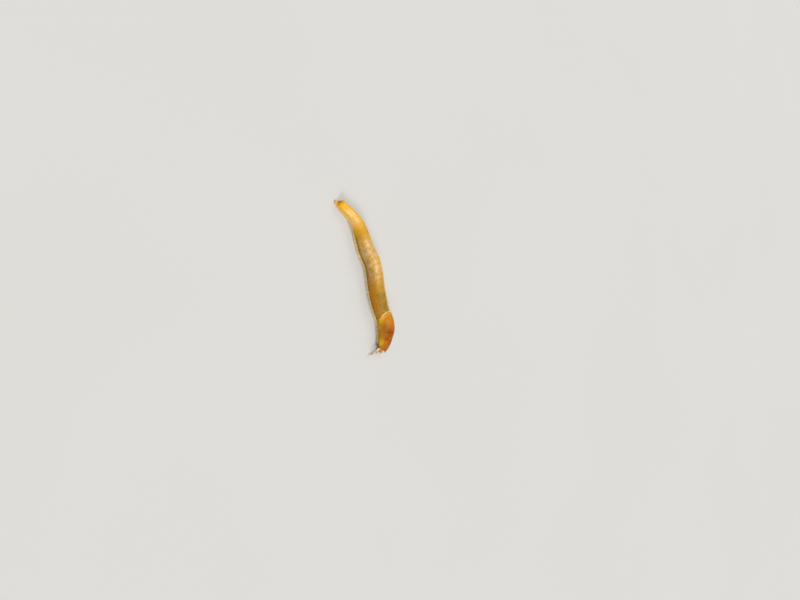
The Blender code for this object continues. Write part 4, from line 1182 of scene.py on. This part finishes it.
class SlugColours(bpy.types.PropertyGroup):
    """Colours of the skin."""

    body: hex_colour("Body", "Back behind the mantle", "#e6ad22")
    gold: hex_colour("Gold", "Tail and lit rims", "#ffc422")
    # Mottling, and on the right flank partly painted shade.
    olive: hex_colour("Olive", "Mottling of the back and the flanks", "#8e7228")
    # The stripe along the right flank, partly painted shade.
    flank: hex_colour("Flank", "Stripe along each flank", "#bd7a0a")
    mantle: hex_colour("Mantle", "Mantle's right side", "#a06e10")
    orange: hex_colour("Orange", "Mantle's top", "#d88208")
    # Deep orange, and low on the mantle's right partly painted shade.
    deep: hex_colour("Deep orange", "Front half of the mantle's top", "#883c00")
    fringe: hex_colour("Fringe", "Fringe of the foot", "#e2d2a2")
    sole: hex_colour("Sole", "Sole of the foot", "#d6c294")
    feeler: hex_colour("Feeler", "Stalks of the feelers", "#c8a88c")
    tip: hex_colour("Feeler tip", "Tips of the feelers", "#c88426")
    # The painted highlight on the mantle's rear rim, and pale skin.
    pale: hex_colour("Pale", "Rims and thin skin", "#fdeabc")
    # A painted milky sheen where the mucus lies thick.
    milky_sheen: hex_colour("Milky", "Mucus where it lies thick", "#f6e4c6")
    fleck: hex_colour("Fleck", "Fine flecks all over", "#a8741a")
    # Painted shade in the furrows between tubercles and grains.
    furrow: hex_colour("Furrow", "Furrows between tubercles", "#b48c48")
    # Painted shade in grooves and hollows.
    dark: hex_colour("Dark", "Grooves and hollows", "#4a2f0c")


class SLUG_OT_skin(bpy.types.Operator):
    """Makes the one skin of the slug, from its back, foot, head, feelers and mantle"""

    bl_idname = "slug.skin"
    bl_label = "Skin"

    def execute(self, context):
        relief = context.scene.slug_relief
        skin = make_back(relief)
        skin.name = "slug_skin"
        combine(skin, make_foot(relief), "UNION")
        combine(skin, joined_head(), "UNION")
        combine(skin, make_mantle(relief), "UNION")
        combine(skin, pore_cutter(), "DIFFERENCE")
        combine(skin, pit_cutter(), "DIFFERENCE")
        for name, spec in FEELERS.items():
            if name.startswith("upper"):
                combine(skin, seat_cutter(spec), "DIFFERENCE")
        soften_creases(skin)
        bpy.ops.object.shade_smooth()
        skin.data.materials.clear()
        skin.data.materials.append(skin_material(context.scene.slug_colours))
        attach(skin, "root")
        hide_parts(*FLESH)
        return {"FINISHED"}


class SLUG_OT_eyes(bpy.types.Operator):
    """Makes the two eyes, black beads in the tips of the upper feelers"""

    bl_idname = "slug.eyes"
    bl_label = "Eyes"

    def execute(self, context):
        finish = eye_material()
        for side in ("right", "left"):
            spec = FEELERS["upper_tentacle_" + side]
            centre, aim = eye_place(spec)
            radii = (EYE_RADIUS * EYE_LONG, EYE_RADIUS, EYE_RADIUS)
            eye = make_ball("eye_bead_" + side, centre, radii, aim)
            bpy.ops.object.shade_smooth()
            eye.data.materials.append(finish)
            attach(eye, "root")
            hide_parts("eye_" + side)
        return {"FINISHED"}


class SLUG_OT_stage(bpy.types.Operator):
    """Lays the pale floor, hangs the soft lamps and sets the camera"""

    bl_idname = "slug.stage"
    bl_label = "Stage"

    def execute(self, context):
        bpy.ops.object.select_all(action="DESELECT")
        bpy.ops.mesh.primitive_circle_add(vertices=FLOOR_SIDES, radius=FLOOR_RADIUS, fill_type="NGON",
                                          location=(0, 0, -FLOOR_DROP))
        floor = context.object
        floor.name = "floor"
        bpy.ops.object.mode_set(mode="EDIT")
        bpy.ops.mesh.inset(thickness=FLOOR_INSET)
        bpy.ops.object.mode_set(mode="OBJECT")
        bpy.ops.object.transform_apply(location=True, rotation=True, scale=True)
        floor.data.materials.append(floor_material())
        world = bpy.data.worlds.new("pale_room")
        world.use_nodes = True
        feed(world.node_tree.nodes["Background"], {"Color": ROOM_COLOUR, "Strength": ROOM_STRENGTH})
        context.scene.world = world
        context.scene.view_settings.view_transform = "Standard"
        for name, where, wide, strength in LAMPS:
            bpy.ops.object.light_add(type="SUN", location=where)
            lamp = context.object
            lamp.name = name
            lamp.data.angle = math.radians(wide)
            lamp.data.energy = strength
            lamp.rotation_euler = (-lamp.location).to_track_quat("-Z", "Y").to_euler()
        set_camera(context)
        return {"FINISHED"}


def set_camera(context):
    """The camera, which looks at AIM_POINT from the photograph's side and sees it at AIM_PIXEL."""
    rise, swing, roll = (math.radians(angle) for angle in (CAMERA_RISE, CAMERA_SWING, CAMERA_ROLL))
    back = np.array((-math.sin(swing), -math.cos(rise) * math.cos(swing), math.sin(rise) * math.cos(swing)))
    east = np.array((math.cos(swing), -math.cos(rise) * math.sin(swing), math.sin(rise) * math.sin(swing)))
    north = np.array((0.0, math.sin(rise), math.cos(rise)))
    right = math.cos(roll) * north + math.sin(roll) * east
    down = math.cos(roll) * east - math.sin(roll) * north
    focal = FRAME_SIZE[0] * CAMERA_LENS / SENSOR_WIDTH
    aside, below = (pixel - size / 2 for pixel, size in zip(AIM_PIXEL, FRAME_SIZE))
    sight = -back * focal + right * aside + down * below
    where = (np.array(AIM_POINT) - sight * CAMERA_DISTANCE / focal) * MM
    bpy.ops.object.camera_add(location=where)
    camera = context.object
    camera.name = "photo_camera"
    camera.data.lens = CAMERA_LENS
    camera.data.clip_start = CAMERA_CLIP
    turn = np.eye(4)
    turn[:3, 0], turn[:3, 1], turn[:3, 2], turn[:3, 3] = right, -down, back, where
    camera.matrix_world = Matrix(turn.tolist())
    context.scene.camera = camera


class SLUG_PT_panel(bpy.types.Panel):
    """Lists what the slug is made of"""

    bl_label = "Banana Slug"
    bl_idname = "SLUG_PT_panel"
    bl_space_type = "VIEW_3D"
    bl_region_type = "UI"
    bl_category = "Slug"

    def draw(self, context):
        for made in (SLUG_OT_skin, SLUG_OT_eyes, SLUG_OT_stage):
            self.layout.operator(made.bl_idname)
        for group in (context.scene.slug_relief, context.scene.slug_colours):
            for name in group.__annotations__:
                self.layout.prop(group, name)


CLASSES = (SlugRelief, SlugColours, SLUG_OT_skin, SLUG_OT_eyes, SLUG_OT_stage, SLUG_PT_panel)


def register():
    for made in CLASSES:
        bpy.utils.register_class(made)
    bpy.types.Scene.slug_relief = bpy.props.PointerProperty(type=SlugRelief)
    bpy.types.Scene.slug_colours = bpy.props.PointerProperty(type=SlugColours)


def unregister():
    del bpy.types.Scene.slug_colours
    del bpy.types.Scene.slug_relief
    for made in reversed(CLASSES):
        bpy.utils.unregister_class(made)


def main():
    register()
    bpy.ops.slug.skin()
    bpy.ops.slug.eyes()
    bpy.ops.slug.stage()


if __name__ == "__main__":
    main()
